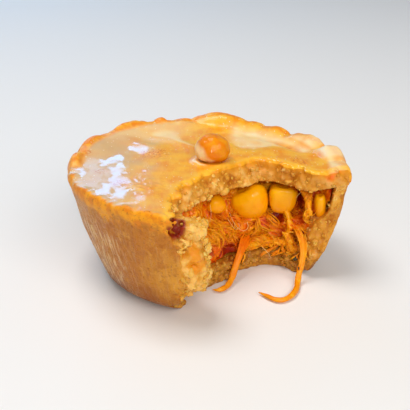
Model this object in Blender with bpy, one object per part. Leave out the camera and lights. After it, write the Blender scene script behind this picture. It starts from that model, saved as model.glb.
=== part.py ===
"""A small round chicken pie with a bite out of its front right.

A shortcrust case and lid, a dough ball on top, shredded chicken with sweetcorn inside, and two strands
of chicken that hang out of the bite. Metres, +Z up. The origin is the middle of the flat foot, the bite
opens towards -Y and +X, and azimuths are in degrees from -Y, positive towards +X.
"""

import math
import random

import bmesh
import bpy
from mathutils import Vector, noise

MM = 0.001
GAP = 0.3 * MM  # between neighbouring pieces
SEED = 11

# Crust: a case whose walls curve out from a flat foot, and a lid pinched onto its rim.
RIM_RADIUS = 37.5 * MM
FOOT_RADIUS = 26.2 * MM
LID_HEIGHT = 30.8 * MM  # the lid's flat top
WALL_CURVE = 0.68  # 1 would be a straight cone
FOOT_INSET = 2.4 * MM
FOOT_ROUNDING = 3.5 * MM
WALL_THICKNESS = 3.4 * MM
WALL_SWELL = 0.9 * MM  # the wall stands out a little at mid height on its right
BASE_THICKNESS = 4.8 * MM
FLOOR_FILLET = 1.6 * MM
CASE_HEIGHT = 28.2 * MM
LID_UNDERSIDE = 24.6 * MM
LID_FILLET = (8.5 * MM, 2.2 * MM)  # how far in from the wall its underside rises, and how high
CRUST_SIDES = 100
# Heights and radii where the turned surfaces have their rings.
WALL_RINGS = tuple(z * MM for z in (0.9, 2.2, 4.5, 8.5, 13.5, 19, 24)) + (CASE_HEIGHT,)
CAVITY_RINGS = (17 * MM, 9 * MM, BASE_THICKNESS + FLOOR_FILLET)
LID_EDGE_INSET = 0.8 * MM  # its lower edge, from its widest
LID_INSETS = tuple(step * MM for step in (0, 0.5, 1.3, 2.4, 4.0, 6.0, 8.4, 11.4, 15.5))
LID_INNER_RINGS = tuple(radius * MM for radius in (16, 9.5, 4))
WALL_WAVE = 0.3 * MM  # how uneven the hand-pressed wall is
WALL_WAVE_SIZE = 11 * MM

# Rim lobes, pinched round the back: azimuth, half width in degrees, height above the lid.
LOBES = (
    (-90, 11, 2.5 * MM),
    (-113, 12, 2.7 * MM),
    (-138.5, 13.5, 2.8 * MM),
    (-155, 5, 2.2 * MM),
    (-166, 7, 1.0 * MM),
    (175, 17, 3.0 * MM),
    (158, 7, 1.3 * MM),
    (146, 7.5, 1.2 * MM),
    (125.5, 11, 1.4 * MM),
    (103.5, 11, 1.8 * MM),
    (86, 10, 0.5 * MM),
)
LOBE_RING = 34.8 * MM  # where a lobe is highest
LOBE_REACH = 5.2 * MM
NOTCH = 0.9 * MM  # how far the rim draws in between lobes
EDGE_ROUNDING = 2.4 * MM
EDGE_DROP = 1.5 * MM

# The trough between the lobes and the flat of the lid, deepest at the back right.
TROUGH_RING = 27.5 * MM
TROUGH_REACH = 4.6 * MM
TROUGH_DEPTH = 1.0 * MM
TROUGH_AZIMUTH = 128
TROUGH_SPREAD = 58

# The bite in plan, from the left rim round to the right rim, at the lid and at the foot.
BITE_AT_LID = (
    (-9.8, -44), (-9.6, -34), (-9.3, -28), (-9.0, -22.5), (-7.8, -16.5), (-4.9, -13), (-2.3, -9.4),
    (0.7, -5.8), (4.2, -2.6), (9.3, 1.9), (13.6, 4.4), (17.3, 3.3), (21.1, 0.4), (24.7, -2.4),
    (28.4, -4.4), (32.3, -4.6), (35.4, -3.2), (39, -0.6), (48, 5),
)  # fmt: skip
BITE_AT_FOOT = (
    (-8.6, -44), (-8.6, -34), (-8.4, -28), (-8.3, -22.8), (-7.6, -17.2), (-4.9, -13.5), (-1.0, -12.6),
    (1.9, -10.8), (4.7, -7.2), (7.5, -4.0), (10.6, -1.4), (14.4, 1.3), (19, 1.8), (22.5, 0.4),
    (25.2, -2.8), (28.3, -4.9), (33, -5.2), (38, -3.4), (48, 2),
)  # fmt: skip
BITE_STEP = 1.45 * MM
CUTTER_REACH = 75 * MM
CUTTER_PAST = 2 * MM  # how far a cutter goes past what it cuts
# The broken end of the left wall bulges at mid height and slants inwards through the wall.
BREAK_BULGE = 1.8 * MM
BREAK_SLANT = 6.2 * MM
BREAK_IN_FRONT_OF = -18 * MM
BREAK_FADE = ((3 * MM, 9 * MM), (26.5 * MM, 30 * MM))
BREAK_HOLE = ((-7.2, -30.6, 25.6), (2.3, 2.6, 2.2))  # a hollow in that end, under the lid
CRUMB_DEPTH = 0.75 * MM
CRUMB_SIZE = 2.7 * MM
LID_LEAN = 1.2 * MM  # how far the lid's broken side leans out at its underside

# Filling: a bed of shredded chicken that stands back under the lid, where the sweetcorn lies.
FILLING_SIDES = 56
FILLING_STEP = 1.9 * MM
FILLING_RECESS = 4.6 * MM
RECESS_HEIGHTS = (12.5 * MM, 16.5 * MM)
RECESS_SPAN = ((-4 * MM, -1 * MM), (30 * MM, 32.5 * MM))
CRAG_DEPTH = 1.3 * MM
CRAG_SIZE = 4.2 * MM
SHRED_COUNT = 34
SHRED_RADII = (0.5 * MM, 0.95 * MM)
SHRED_LENGTHS = (6 * MM, 14 * MM)
SHRED_POINTS = 6
SHREDS_BEHIND = -20 * MM
SHRED_SAG = 2.4 * MM
SHRED_HEIGHTS = (7.5 * MM, 21.5 * MM)
# Thick folds of chicken that stand out of the bed: points, then the radius at each end.
FOLDS = (
    (((25.0, 0.6, 23.4), (26.3, -1.8, 20.4), (26.6, -3.2, 16.6), (25.9, -3.4, 13.6)), (1.2 * MM, 0.8 * MM)),
    (((1.6, -4.6, 16.4), (3.6, -5.2, 13.4), (5.4, -4.6, 10.8)), (1.0 * MM, 0.8 * MM)),
    (((5.2, -1.6, 14.6), (7.2, -3.0, 12.2), (9.6, -2.4, 10.4)), (1.0 * MM, 0.7 * MM)),
    (((-3.4, -12.4, 18.6), (-1.4, -12.6, 14.0), (0.6, -11.0, 9.4)), (1.1 * MM, 0.8 * MM)),
    (((15.4, 2.0, 12.6), (18.4, 0.4, 11.4), (21.6, 0.2, 11.8)), (1.0 * MM, 0.8 * MM)),
)

# Sweetcorn: name, middle, size across, deep and high, lean to the side in degrees, squareness.
KERNELS = (
    ("sweetcorn_a", (11.4, 4.3, 17.7), (12.2, 7.4, 9.6), 30, 2.3),
    ("sweetcorn_b", (20.0, 4.4, 19.0), (8.6, 6.8, 8.0), -4, 3.4),
    ("sweetcorn_c", (1.9, -0.8, 19.0), (5.6, 5.4, 5.0), 62, 2.5),
    ("sweetcorn_d", (29.6, -1.5, 19.5), (3.7, 4.2, 7.2), 4, 2.4),
)
KERNEL_SIDES = 14
KERNEL_ROWS = 9
KERNEL_TAPER = 0.3  # how much narrower its tip is than its crown
KERNEL_DENT = 0.7 * MM

# Chicken strands that hang out over the broken base and end on the surface that the pie stands on.
LEFT_STRAND = (
    (11.0, 0.6, 9.2), (9.6, -2.4, 8.2), (8.4, -5.4, 6.4), (7.2, -8.0, 3.8), (6.3, -10.2, 1.9),
    (5.3, -12.4, 1.1), (4.0, -14.2, 1.0), (2.6, -14.9, 0.9), (1.4, -14.6, 0.8),
)  # fmt: skip
LEFT_STRAND_RADII = (1.6 * MM, 0.75 * MM)
RIGHT_STRAND = (
    (24.0, 1.6, 12.2), (24.9, -2.0, 11.2), (25.4, -5.2, 8.8), (25.1, -7.2, 5.6), (24.3, -8.6, 2.8),
    (23.8, -10.6, 1.2), (23.2, -13.7, 1.0), (21.6, -17.2, 1.0), (19.4, -19.4, 0.95),
    (17.2, -19.2, 0.9), (15.1, -17.3, 0.85), (13.3, -15.6, 0.8),
)  # fmt: skip
RIGHT_STRAND_RADII = (1.35 * MM, 0.75 * MM)
STRAND_SPACING = 1.7 * MM
STRAND_SIDES = 8

# Dough ball on the middle of the lid, flat where it sits.
BALL_MIDDLE = (0.6 * MM, 1.2 * MM)
BALL_WIDTH = 9.0 * MM
BALL_HEIGHT = 7.9 * MM
BALL_SUNK = 1.0 * MM  # how much of its round foot is pressed flat

MATERIALS = {
    "crust": ((0.60, 0.30, 0.08), 0.60),
    "glazed_crust": ((0.78, 0.38, 0.06), 0.30),
    "ball_crust": ((0.78, 0.27, 0.02), 0.30),
    "chicken": ((0.62, 0.20, 0.01), 0.50),
    "sweetcorn": ((0.85, 0.45, 0.01), 0.25),
}


def clear_scene():
    for obj in list(bpy.data.objects):
        bpy.data.objects.remove(obj, do_unlink=True)


def material(name):
    """The named Principled material, made the first time it is asked for."""
    made = bpy.data.materials.get(name)
    if made is None:
        colour, roughness = MATERIALS[name]
        made = bpy.data.materials.new(name)
        made.use_nodes = True
        shader = made.node_tree.nodes["Principled BSDF"]
        shader.inputs["Base Color"].default_value = (*colour, 1)
        shader.inputs["Roughness"].default_value = roughness
        shader.inputs["Metallic"].default_value = 0
    return made


def ramp(value, start, end):
    """0 before start, 1 after end, and smooth between them."""
    t = min(max((value - start) / (end - start), 0), 1)
    return t * t * (3 - 2 * t)


def bump(distance, reach):
    """1 at the middle, falling smoothly to 0 at reach."""
    return 1 - ramp(abs(distance), 0, reach)


def turn_between(a, b):
    """The angle from b to a in degrees, from -180 to 180."""
    return (a - b + 180) % 360 - 180


# --- Crust shape ---


def wall_radius(z):
    """Outer radius of the case at height z."""
    z = max(z, 0)
    radius = FOOT_RADIUS + (RIM_RADIUS - FOOT_RADIUS) * (z / LID_HEIGHT) ** WALL_CURVE
    foot = max(0, 1 - z / FOOT_ROUNDING)
    return radius - FOOT_INSET * foot * foot


def cavity_radius(z):
    """Inner radius of the case at height z, with a fillet where its wall meets its base."""
    fillet = max(0, 1 - (z - BASE_THICKNESS) / FLOOR_FILLET)
    return wall_radius(z) - WALL_THICKNESS - FLOOR_FILLET * fillet * fillet


def lobe_at(azimuth):
    """(height, share of a whole lobe) of the pinched rim at this azimuth."""
    height, share = 0, 0
    for middle, half_width, lobe_height in LOBES:
        across = 1 - (turn_between(azimuth, middle) / half_width) ** 2
        if across > 0:
            height = max(height, lobe_height * across)
            share = max(share, across)
    return height, share


def rim_radius(azimuth):
    """Radius of the lid's edge: it draws in between lobes, and is plain round the front."""
    lobed = ramp(abs(azimuth), 78, 90)
    return RIM_RADIUS - NOTCH * lobed * (1 - lobe_at(azimuth)[1] ** 0.5)


def lid_top(x, y):
    """Height of the lid's upper surface over the point x, y."""
    radius = math.hypot(x, y)
    azimuth = math.degrees(math.atan2(x, -y))
    height = LID_HEIGHT + lobe_at(azimuth)[0] * bump(radius - LOBE_RING, LOBE_REACH)
    at_trough = bump(turn_between(azimuth, TROUGH_AZIMUTH), TROUGH_SPREAD)
    height -= TROUGH_DEPTH * at_trough * bump(radius - TROUGH_RING, TROUGH_REACH)
    edge = ramp(radius, rim_radius(azimuth) - EDGE_ROUNDING, rim_radius(azimuth))
    return height - EDGE_DROP * edge * edge


def ring_at(radius_of, height_of):
    """A function from an angle in radians to a point, from functions of azimuth in degrees."""

    def point(angle):
        azimuth = math.degrees(angle) - 180
        radius, direction = radius_of(azimuth), math.radians(azimuth)
        x, y = radius * math.sin(direction), -radius * math.cos(direction)
        return Vector((x, y, height_of(x, y)))

    return point


def level_ring(radius, z):
    return ring_at(lambda azimuth: radius, lambda x, y: z)


def inner_ring(z, clearance=0):
    """A ring on the inside of the case's wall, or inside it by a clearance."""
    return ring_at(lambda azimuth: cavity_radius(z) + swell(azimuth, z) - clearance, lambda x, y: z)


def swell(azimuth, z):
    """How far the wall stands out at this azimuth and height."""
    return WALL_SWELL * bump(turn_between(azimuth, 90), 60) * math.sin(math.pi * z / CASE_HEIGHT)


def uneven_ring(z):
    """The case's outer wall at height z, pressed a little unevenly above its flat foot."""

    def radius_of(azimuth):
        direction = math.radians(azimuth)
        plain = wall_radius(z) + swell(azimuth, z)
        spot = Vector((plain * math.sin(direction), -plain * math.cos(direction), z))
        return plain + WALL_WAVE * ramp(z, 0, FOOT_ROUNDING) * noise.noise(spot / WALL_WAVE_SIZE)

    return ring_at(radius_of, lambda x, y: z)


def lid_ring(inset):
    """A ring on the lid's upper surface, inset from its edge."""
    return ring_at(lambda azimuth: rim_radius(azimuth) - inset, lid_top)


# --- Building bodies ---


def link(name, body, material_name):
    """An object from a bmesh, with its material and smooth shading away from sharp edges."""
    bmesh.ops.recalc_face_normals(body, faces=body.faces)
    mesh = bpy.data.meshes.new(name)
    body.to_mesh(mesh)
    body.free()
    mesh.materials.append(material(material_name))
    obj = bpy.data.objects.new(name, mesh)
    bpy.context.scene.collection.objects.link(obj)
    shade(obj)
    return obj


def shade(obj):
    obj.data.shade_smooth()
    obj.data.set_sharp_from_angle(angle=math.radians(40))


def body_from_rings(rings, sides):
    """A closed body through rings of points, capped at the first and the last."""
    body = bmesh.new()
    loops = [[body.verts.new(ring(2 * math.pi * i / sides)) for i in range(sides)] for ring in rings]
    for lower, upper in zip(loops, loops[1:]):
        for i in range(sides):
            j = (i + 1) % sides
            body.faces.new((lower[i], lower[j], upper[j], upper[i]))
    body.faces.new(loops[0])
    body.faces.new(loops[-1])
    return body


def apply_boolean(obj, operation, others, solver="EXACT"):
    """Joins, cuts or intersects obj with the other objects, and removes those."""
    helpers = bpy.data.collections.new("helpers")
    for other in others:
        helpers.objects.link(other)
    step = obj.modifiers.new(operation.lower(), "BOOLEAN")
    step.operation = operation
    step.solver = solver
    step.operand_type = "COLLECTION"
    step.collection = helpers
    graph = bpy.context.evaluated_depsgraph_get()
    result = bpy.data.meshes.new_from_object(obj.evaluated_get(graph))
    obj.modifiers.clear()
    obj.data = result
    for other in others:
        bpy.data.objects.remove(other, do_unlink=True)
    bpy.data.collections.remove(helpers)


def island_from(start, seen):
    """The faces joined to this one, edge by edge."""
    faces, waiting = [], [start]
    seen.add(start)
    while waiting:
        face = waiting.pop()
        faces.append(face)
        for edge in face.edges:
            for neighbour in edge.link_faces:
                if neighbour not in seen:
                    seen.add(neighbour)
                    waiting.append(neighbour)
    return faces


def keep_largest(obj):
    """Drops loose scraps, and fills sealed hollows by dropping their inner faces."""
    body = bmesh.new()
    body.from_mesh(obj.data)
    seen, islands = set(), []
    for face in body.faces:
        if face not in seen:
            islands.append(island_from(face, seen))
    islands.sort(key=len, reverse=True)
    scraps = [face for island in islands[1:] for face in island]
    bmesh.ops.delete(body, geom=scraps, context="FACES")
    body.to_mesh(obj.data)
    body.free()
    shade(obj)


# --- The bite ---


def smooth_line(points, spacing):
    """Points at even spacing on a Catmull-Rom curve through the given ones."""
    ends = [points[0] * 2 - points[1], *points, points[-1] * 2 - points[-2]]
    dense = []
    for a, b, c, d in zip(ends, ends[1:], ends[2:], ends[3:]):
        for step in range(12):
            t = step / 12
            bend = (a * -1 + b * 3 - c * 3 + d) * t**3 + (a * 2 - b * 5 + c * 4 - d) * t**2
            dense.append((b * 2 + (c - a) * t + bend) / 2)
    dense.append(points[-1])
    lengths = [0]
    for a, b in zip(dense, dense[1:]):
        lengths.append(lengths[-1] + (b - a).length)
    count = max(2, round(lengths[-1] / spacing))
    line, place = [], 0
    for i in range(count + 1):
        target = lengths[-1] * i / count
        while place < len(dense) - 2 and lengths[place + 1] < target:
            place += 1
        share = (target - lengths[place]) / (lengths[place + 1] - lengths[place])
        line.append(dense[place].lerp(dense[place + 1], min(share, 1)))
    return line


def plan_line(points, step):
    """The outline's points in metres, smoothed, at about this step."""
    return smooth_line([Vector((x * MM, y * MM, 0)) for x, y in points], step)


def bite_line(z, step):
    """The bite's outline at height z: the lid's outline blended with the foot's."""
    above = plan_line(BITE_AT_LID, step)
    below = plan_line(BITE_AT_FOOT, step)
    share = z / LID_HEIGHT
    count = len(above) - 1
    line = []
    for i, point in enumerate(above):
        place = i * (len(below) - 1) / count
        first = min(int(place), len(below) - 2)
        foot = below[first].lerp(below[first + 1], place - first)
        spot = foot.lerp(point, share)
        line.append(Vector((spot.x, spot.y, z)))
    return line


def broken_left(spot):
    """Moves a point of the bite's left end to the slanting break of the case's wall."""
    if spot.x > 0 or spot.y > BREAK_IN_FRONT_OF:
        return spot
    (low, full), (fade, gone) = BREAK_FADE
    share = ramp(spot.z, low, full) * (1 - ramp(spot.z, fade, gone))
    depth = (wall_radius(spot.z) - math.hypot(spot.x, spot.y)) / WALL_THICKNESS
    through = ramp(depth, 0, 1) * (1 - ramp(depth, 2.2, 4.2))
    slant = BREAK_SLANT * share * through
    bulge = BREAK_BULGE * math.sin(math.pi * spot.z / LID_HEIGHT)
    return spot + Vector((bulge + slant, 0, 0))


def crumbly(spot, outward, depth, size):
    """The point moved by lumps of this size, and by finer ones on them."""
    lumps = noise.noise(spot / size) + 0.5 * noise.noise(spot * 2.1 / size)
    return spot + outward * depth * lumps


def outward_at(line, i):
    """The level direction at point i of the line that points into the bite."""
    along = line[min(i + 1, len(line) - 1)] - line[max(i - 1, 0)]
    return Vector((along.y, -along.x, 0)).normalized()


def bite_cutter(levels, step, shape):
    """A block that fills the bite. shape moves each point of its broken side."""
    body = bmesh.new()
    loops = []
    for z in levels:
        line = bite_line(z, step)
        broken = [shape(spot, outward_at(line, i)) for i, spot in enumerate(line)]
        far = (Vector((CUTTER_REACH, -CUTTER_REACH, z)),)
        loops.append([body.verts.new(spot) for spot in (*broken, *far)])
    count = len(loops[0])
    for lower, upper in zip(loops, loops[1:]):
        for i in range(count):
            j = (i + 1) % count
            body.faces.new((lower[i], lower[j], upper[j], upper[i]))
    body.faces.new(loops[0])
    body.faces.new(loops[-1])
    bmesh.ops.triangulate(body, faces=body.faces)
    cutter = link("bite_cutter", body, "crust")
    cutter.hide_render = True
    cutter.display_type = "WIRE"
    return cutter


def levels_between(low, high, step):
    count = max(1, round((high - low) / step))
    return [low + (high - low) * i / count for i in range(count + 1)]


def case_break(spot, outward):
    return crumbly(broken_left(spot), outward, CRUMB_DEPTH, CRUMB_SIZE)


def lid_break(spot, outward):
    """The lid's broken side leans out a little below its glazed top."""
    lean = LID_LEAN * ramp(LID_HEIGHT - spot.z, 0, LID_HEIGHT - LID_UNDERSIDE)
    return crumbly(spot + outward * lean, outward, CRUMB_DEPTH, CRUMB_SIZE)


def filling_break(spot, outward):
    """The filling's broken side stands back under the lid, where the sweetcorn lies."""
    (start, full), (fade, gone) = RECESS_SPAN
    across = ramp(spot.x, start, full) * (1 - ramp(spot.x, fade, gone))
    back = FILLING_RECESS * across * ramp(spot.z, *RECESS_HEIGHTS)
    level = Vector((spot.x, spot.y, spot.z))
    moved = broken_left(level) - outward * (back + CRAG_DEPTH / 2)
    return crumbly(moved, outward, CRAG_DEPTH, CRAG_SIZE)


# --- Pieces ---


def hollow(name, middle, radii):
    """A cutter for an egg-shaped hollow."""
    body = bmesh.new()
    bmesh.ops.create_icosphere(body, subdivisions=2, radius=1)
    for vert in body.verts:
        vert.co = Vector([place + side * at for place, side, at in zip(middle, radii, vert.co)]) * MM
    cutter = link(name, body, "crust")
    cutter.hide_render = True
    cutter.display_type = "WIRE"
    return cutter


def make_case():
    rings = [level_ring(wall_radius(0), 0)]
    rings += [uneven_ring(z) for z in WALL_RINGS]
    rings += [inner_ring(z) for z in (CASE_HEIGHT, *CAVITY_RINGS, BASE_THICKNESS)]
    case = link("crust_case", body_from_rings(rings, CRUST_SIDES), "crust")
    levels = levels_between(-CUTTER_PAST, CASE_HEIGHT + CUTTER_PAST, BITE_STEP)
    apply_boolean(case, "DIFFERENCE", [bite_cutter(levels, BITE_STEP, case_break)])
    apply_boolean(case, "DIFFERENCE", [hollow("break_hole", *BREAK_HOLE), *strand_clearances()])
    keep_largest(case)


def make_lid():
    seat = CASE_HEIGHT + GAP
    inward, upward = LID_FILLET
    rings = [
        level_ring(cavity_radius(LID_UNDERSIDE) - inward, LID_UNDERSIDE),
        inner_ring(LID_UNDERSIDE + upward, GAP),
        inner_ring(seat, GAP),
        ring_at(lambda azimuth: rim_radius(azimuth) - LID_EDGE_INSET, lambda x, y: seat),
    ]
    rings += [lid_ring(inset) for inset in LID_INSETS]
    rings += [ring_at(lambda azimuth, r=r: r, lid_top) for r in LID_INNER_RINGS]
    lid = link("crust_lid", body_from_rings(rings, CRUST_SIDES), "glazed_crust")
    levels = levels_between(LID_UNDERSIDE - CUTTER_PAST, LID_HEIGHT + 2 * CUTTER_PAST, BITE_STEP)
    apply_boolean(lid, "DIFFERENCE", [bite_cutter(levels, BITE_STEP, lid_break)])
    keep_largest(lid)


def make_ball():
    body = bmesh.new()
    bmesh.ops.create_uvsphere(body, u_segments=18, v_segments=11, radius=0.5)
    x, y = BALL_MIDDLE
    foot = lid_top(x, y) + GAP
    for vert in body.verts:
        place = vert.co * (1 + 0.03 * noise.noise(vert.co * 3))
        z = foot - BALL_SUNK + (place.z + 0.5) * (BALL_HEIGHT + BALL_SUNK)
        vert.co = (x + place.x * BALL_WIDTH, y + place.y * BALL_WIDTH, z)
    below = bmesh.ops.bisect_plane(
        body, geom=[*body.verts, *body.edges, *body.faces], plane_co=(0, 0, foot),
        plane_no=(0, 0, 1), clear_inner=True,
    )  # fmt: skip
    rim = [item for item in below["geom_cut"] if isinstance(item, bmesh.types.BMEdge)]
    bmesh.ops.edgeloop_fill(body, edges=rim)
    return link("dough_ball", body, "ball_crust")


def kernel_body(middle, size, lean, squareness, clearance):
    """One kernel: a squared egg, narrower at its tip and dented at its crown."""
    body = bmesh.new()
    bmesh.ops.create_uvsphere(body, u_segments=KERNEL_SIDES, v_segments=KERNEL_ROWS, radius=1)
    cos, sin = math.cos(math.radians(lean)), math.sin(math.radians(lean))
    width, depth, height = (side * MM / 2 + clearance for side in size)
    for vert in body.verts:
        x, y, z = vert.co
        squared = sum(abs(side) ** squareness for side in (x, y, z)) ** (-1 / squareness)
        x, y, z = x * squared, y * squared, z * squared
        narrow = 1 - KERNEL_TAPER * (1 - z) / 2
        dent = KERNEL_DENT * bump(x, 0.6) * bump(y, 0.8) * ramp(z, 0.2, 0.9)
        x, y, z = x * narrow * width, y * narrow * depth, z * height - dent
        vert.co = Vector(middle) * MM + Vector((x * cos - z * sin, y, x * sin + z * cos))
    return body


def make_kernels():
    for name, middle, size, lean, squareness in KERNELS:
        link(name, kernel_body(middle, size, lean, squareness, 0), "sweetcorn")


def kernel_clearances():
    return [
        link(f"room_for_{name}", kernel_body(middle, size, lean, squareness, GAP), "sweetcorn")
        for name, middle, size, lean, squareness in KERNELS
    ]


def tube_body(points, radii, sides, flatness=1.0):
    """A closed tube along the points, from the first radius to the second, rounded off at its ends."""
    body = bmesh.new()
    side_way = Vector((1, 0.2, 0.1)).normalized()
    loops = []
    for i, point in enumerate(points):
        along = (points[min(i + 1, len(points) - 1)] - points[max(i - 1, 0)]).normalized()
        side_way = (side_way - along * side_way.dot(along)).normalized()
        up_way = along.cross(side_way)
        share = i / (len(points) - 1)
        radius = radii[0] + (radii[1] - radii[0]) * share
        radius *= 0.55 if i in (0, len(points) - 1) else 1
        loop = []
        for side in range(sides):
            angle = 2 * math.pi * side / sides
            across = side_way * math.cos(angle) * radius
            loop.append(body.verts.new(point + across + up_way * math.sin(angle) * radius * flatness))
        loops.append(loop)
    for first, second in zip(loops, loops[1:]):
        for i in range(sides):
            j = (i + 1) % sides
            body.faces.new((first[i], first[j], second[j], second[i]))
    body.faces.new(loops[0])
    body.faces.new(loops[-1])
    return body


def strand_body(points, radii, clearance):
    line = smooth_line([Vector(point) * MM for point in points], STRAND_SPACING)
    start, end = radii
    return tube_body(line, (start + clearance, end + clearance), STRAND_SIDES)


STRANDS = (
    ("chicken_strand_left", LEFT_STRAND, LEFT_STRAND_RADII),
    ("chicken_strand_right", RIGHT_STRAND, RIGHT_STRAND_RADII),
)


def make_strands():
    for name, points, radii in STRANDS:
        link(name, strand_body(points, radii, 0), "chicken")


def strand_clearances():
    return [
        link(f"room_for_{name}", strand_body(points, radii, GAP * 1.3), "chicken")
        for name, points, radii in STRANDS
    ]


def cavity_body(name):
    """The space inside the crust, a gap clear of it."""
    top = LID_UNDERSIDE - GAP
    floor = BASE_THICKNESS + GAP
    rings = [inner_ring(floor, 3 * GAP)]
    rings += [inner_ring(z, GAP) for z in (floor + FLOOR_FILLET, *reversed(CAVITY_RINGS[:2]), top)]
    return link(name, body_from_rings(rings, FILLING_SIDES), "chicken")


def shred_at(rng):
    """A sagging shred of chicken on the filling's broken side."""
    z = rng.uniform(*SHRED_HEIGHTS)
    line = bite_line(z, FILLING_STEP)
    inside = [i for i, spot in enumerate(line) if spot.length < cavity_radius(z) and spot.y > SHREDS_BEHIND]
    i = rng.choice(inside)
    outward = outward_at(line, i)
    along = Vector((-outward.y, outward.x, 0))
    start = filling_break(line[i], outward)
    lean = rng.uniform(-1.1, 1.1)
    run = (along * math.sin(lean) + Vector((0, 0, -1)) * math.cos(lean)) * rng.uniform(*SHRED_LENGTHS)
    points = []
    for step in range(SHRED_POINTS):
        t = step / (SHRED_POINTS - 1)
        sag = math.sin(math.pi * t) * SHRED_SAG * rng.uniform(0.2, 0.6)
        points.append(start + run * (t - 0.4) + outward * sag)
    radius = rng.uniform(*SHRED_RADII)
    return tube_body(points, (radius, radius * 0.7), 5, rng.uniform(0.5, 0.9))


def make_filling():
    """The bed of chicken, cut at the bite, with shreds fused on and room for what lies in it."""
    rng = random.Random(SEED)
    filling = cavity_body("chicken_filling")
    levels = levels_between(BASE_THICKNESS - CUTTER_PAST, LID_UNDERSIDE + CUTTER_PAST, FILLING_STEP)
    apply_boolean(filling, "DIFFERENCE", [bite_cutter(levels, FILLING_STEP, filling_break)])
    shreds = [link("shred", shred_at(rng), "chicken") for _ in range(SHRED_COUNT)]
    shreds += [link("fold", strand_body(points, radii, 0), "chicken") for points, radii in FOLDS]
    apply_boolean(filling, "UNION", shreds)
    apply_boolean(filling, "INTERSECT", [cavity_body("cavity")])
    apply_boolean(filling, "DIFFERENCE", kernel_clearances() + strand_clearances())
    keep_largest(filling)


def main():
    clear_scene()
    make_case()
    make_lid()
    make_ball()
    make_filling()
    make_kernels()
    make_strands()


main()
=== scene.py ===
"""A small round chicken pie with a bite out of its front right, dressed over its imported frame.

The crust is meshed from fields of distance: negative inside the dough, positive outside it. Lengths are
millimetres until a mesh is made. As in the frame, +Z is up, the bite opens towards -Y and +X, and
azimuths are in degrees from -Y, positive towards +X.
"""

import itertools
import math

import bmesh
import bpy
import numpy as np
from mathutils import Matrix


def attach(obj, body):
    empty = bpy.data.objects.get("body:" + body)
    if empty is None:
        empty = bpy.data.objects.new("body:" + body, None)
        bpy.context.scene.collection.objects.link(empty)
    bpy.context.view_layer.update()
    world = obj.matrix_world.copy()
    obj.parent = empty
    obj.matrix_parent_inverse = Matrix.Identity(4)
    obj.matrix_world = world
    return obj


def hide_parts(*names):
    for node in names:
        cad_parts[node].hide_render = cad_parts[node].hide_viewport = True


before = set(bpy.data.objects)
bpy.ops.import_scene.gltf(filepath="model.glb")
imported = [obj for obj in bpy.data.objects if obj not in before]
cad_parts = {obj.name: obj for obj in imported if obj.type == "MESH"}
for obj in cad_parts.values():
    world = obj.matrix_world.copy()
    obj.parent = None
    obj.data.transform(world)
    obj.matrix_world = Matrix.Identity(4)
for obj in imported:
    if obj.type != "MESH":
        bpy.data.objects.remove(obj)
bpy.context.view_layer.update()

import openvdb
from mathutils import Matrix, Vector

MM = 0.001
SEED = 11
STEP = 0.4  # of the lid's field
CASE_STEP = 0.43  # of the case's field
CORE_STEP = 0.4  # of the filling's field

# --- Sizes of the frame ---

RIM_RADIUS = 37.5
FOOT_RADIUS = 26.2
LID_HEIGHT = 30.8
WALL_CURVE = 0.68
FOOT_INSET = 2.4
FOOT_ROUNDING = 3.5
WALL_THICKNESS = 3.4
WALL_SWELL = 0.9
BASE_THICKNESS = 4.8
FLOOR_FILLET = 1.6
CASE_HEIGHT = 28.2
LID_UNDERSIDE = 24.6
LID_FILLET = (8.5, 2.2)
GAP = 0.3

# Rim lobes: azimuth, half width in degrees, height above the lid.
LOBES = (
    (-90, 8, 1.6), (-111, 13, 2.0), (-138.5, 13.5, 2.6), (-155, 5, 2.2), (-166, 7, 1.0), (175, 17, 3.0),
    (158, 7, 1.3), (146, 7.5, 1.2), (125.5, 11, 1.4), (103.5, 11, 1.8), (86, 10, 0.5),
)  # fmt: skip
LOBE_RING = 34.8
LOBE_REACH = 5.2
NOTCH = 0.9
EDGE_ROUNDING = 2.4
EDGE_DROP = 1.5
TROUGH_RING = 27.5
TROUGH_REACH = 4.6
TROUGH_DEPTH = 1.0
TROUGH_AZIMUTH = 128
TROUGH_SPREAD = 58

BITE_AT_LID = (
    (-9.8, -44), (-9.6, -34), (-9.3, -28), (-9.0, -22.5), (-7.8, -16.5), (-4.9, -13), (-2.3, -9.4),
    (0.7, -5.8), (4.2, -2.6), (9.3, 1.9), (13.6, 4.4), (17.3, 3.3), (21.1, 0.4), (24.7, -2.4),
    (28.4, -4.4), (32.3, -4.6), (35.4, -3.2), (39, -0.6), (48, 5),
)  # fmt: skip
BITE_AT_FOOT = (
    (-8.6, -44), (-8.6, -34), (-8.4, -28), (-8.3, -22.8), (-7.6, -17.2), (-4.9, -13.5), (-1.0, -12.6),
    (1.9, -10.8), (4.7, -7.2), (7.5, -4.0), (10.6, -1.4), (14.4, 1.3), (19, 1.8), (22.5, 0.4),
    (25.2, -2.8), (28.3, -4.9), (33, -5.2), (38, -3.4), (48, 2),
)  # fmt: skip
OUTLINE_POINTS = 110
BITE_CORNER = (75, -75)
BREAK_BULGE = 1.8
BREAK_SLANT = 6.2
BREAK_IN_FRONT_OF = -18
BREAK_FADE = ((3, 9), (26.5, 30))
BREAK_HOLE = ((-7.7, -33.2, 27.6), (1.8, 3.3, 2.5))
LID_LEAN = 1.2

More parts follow.
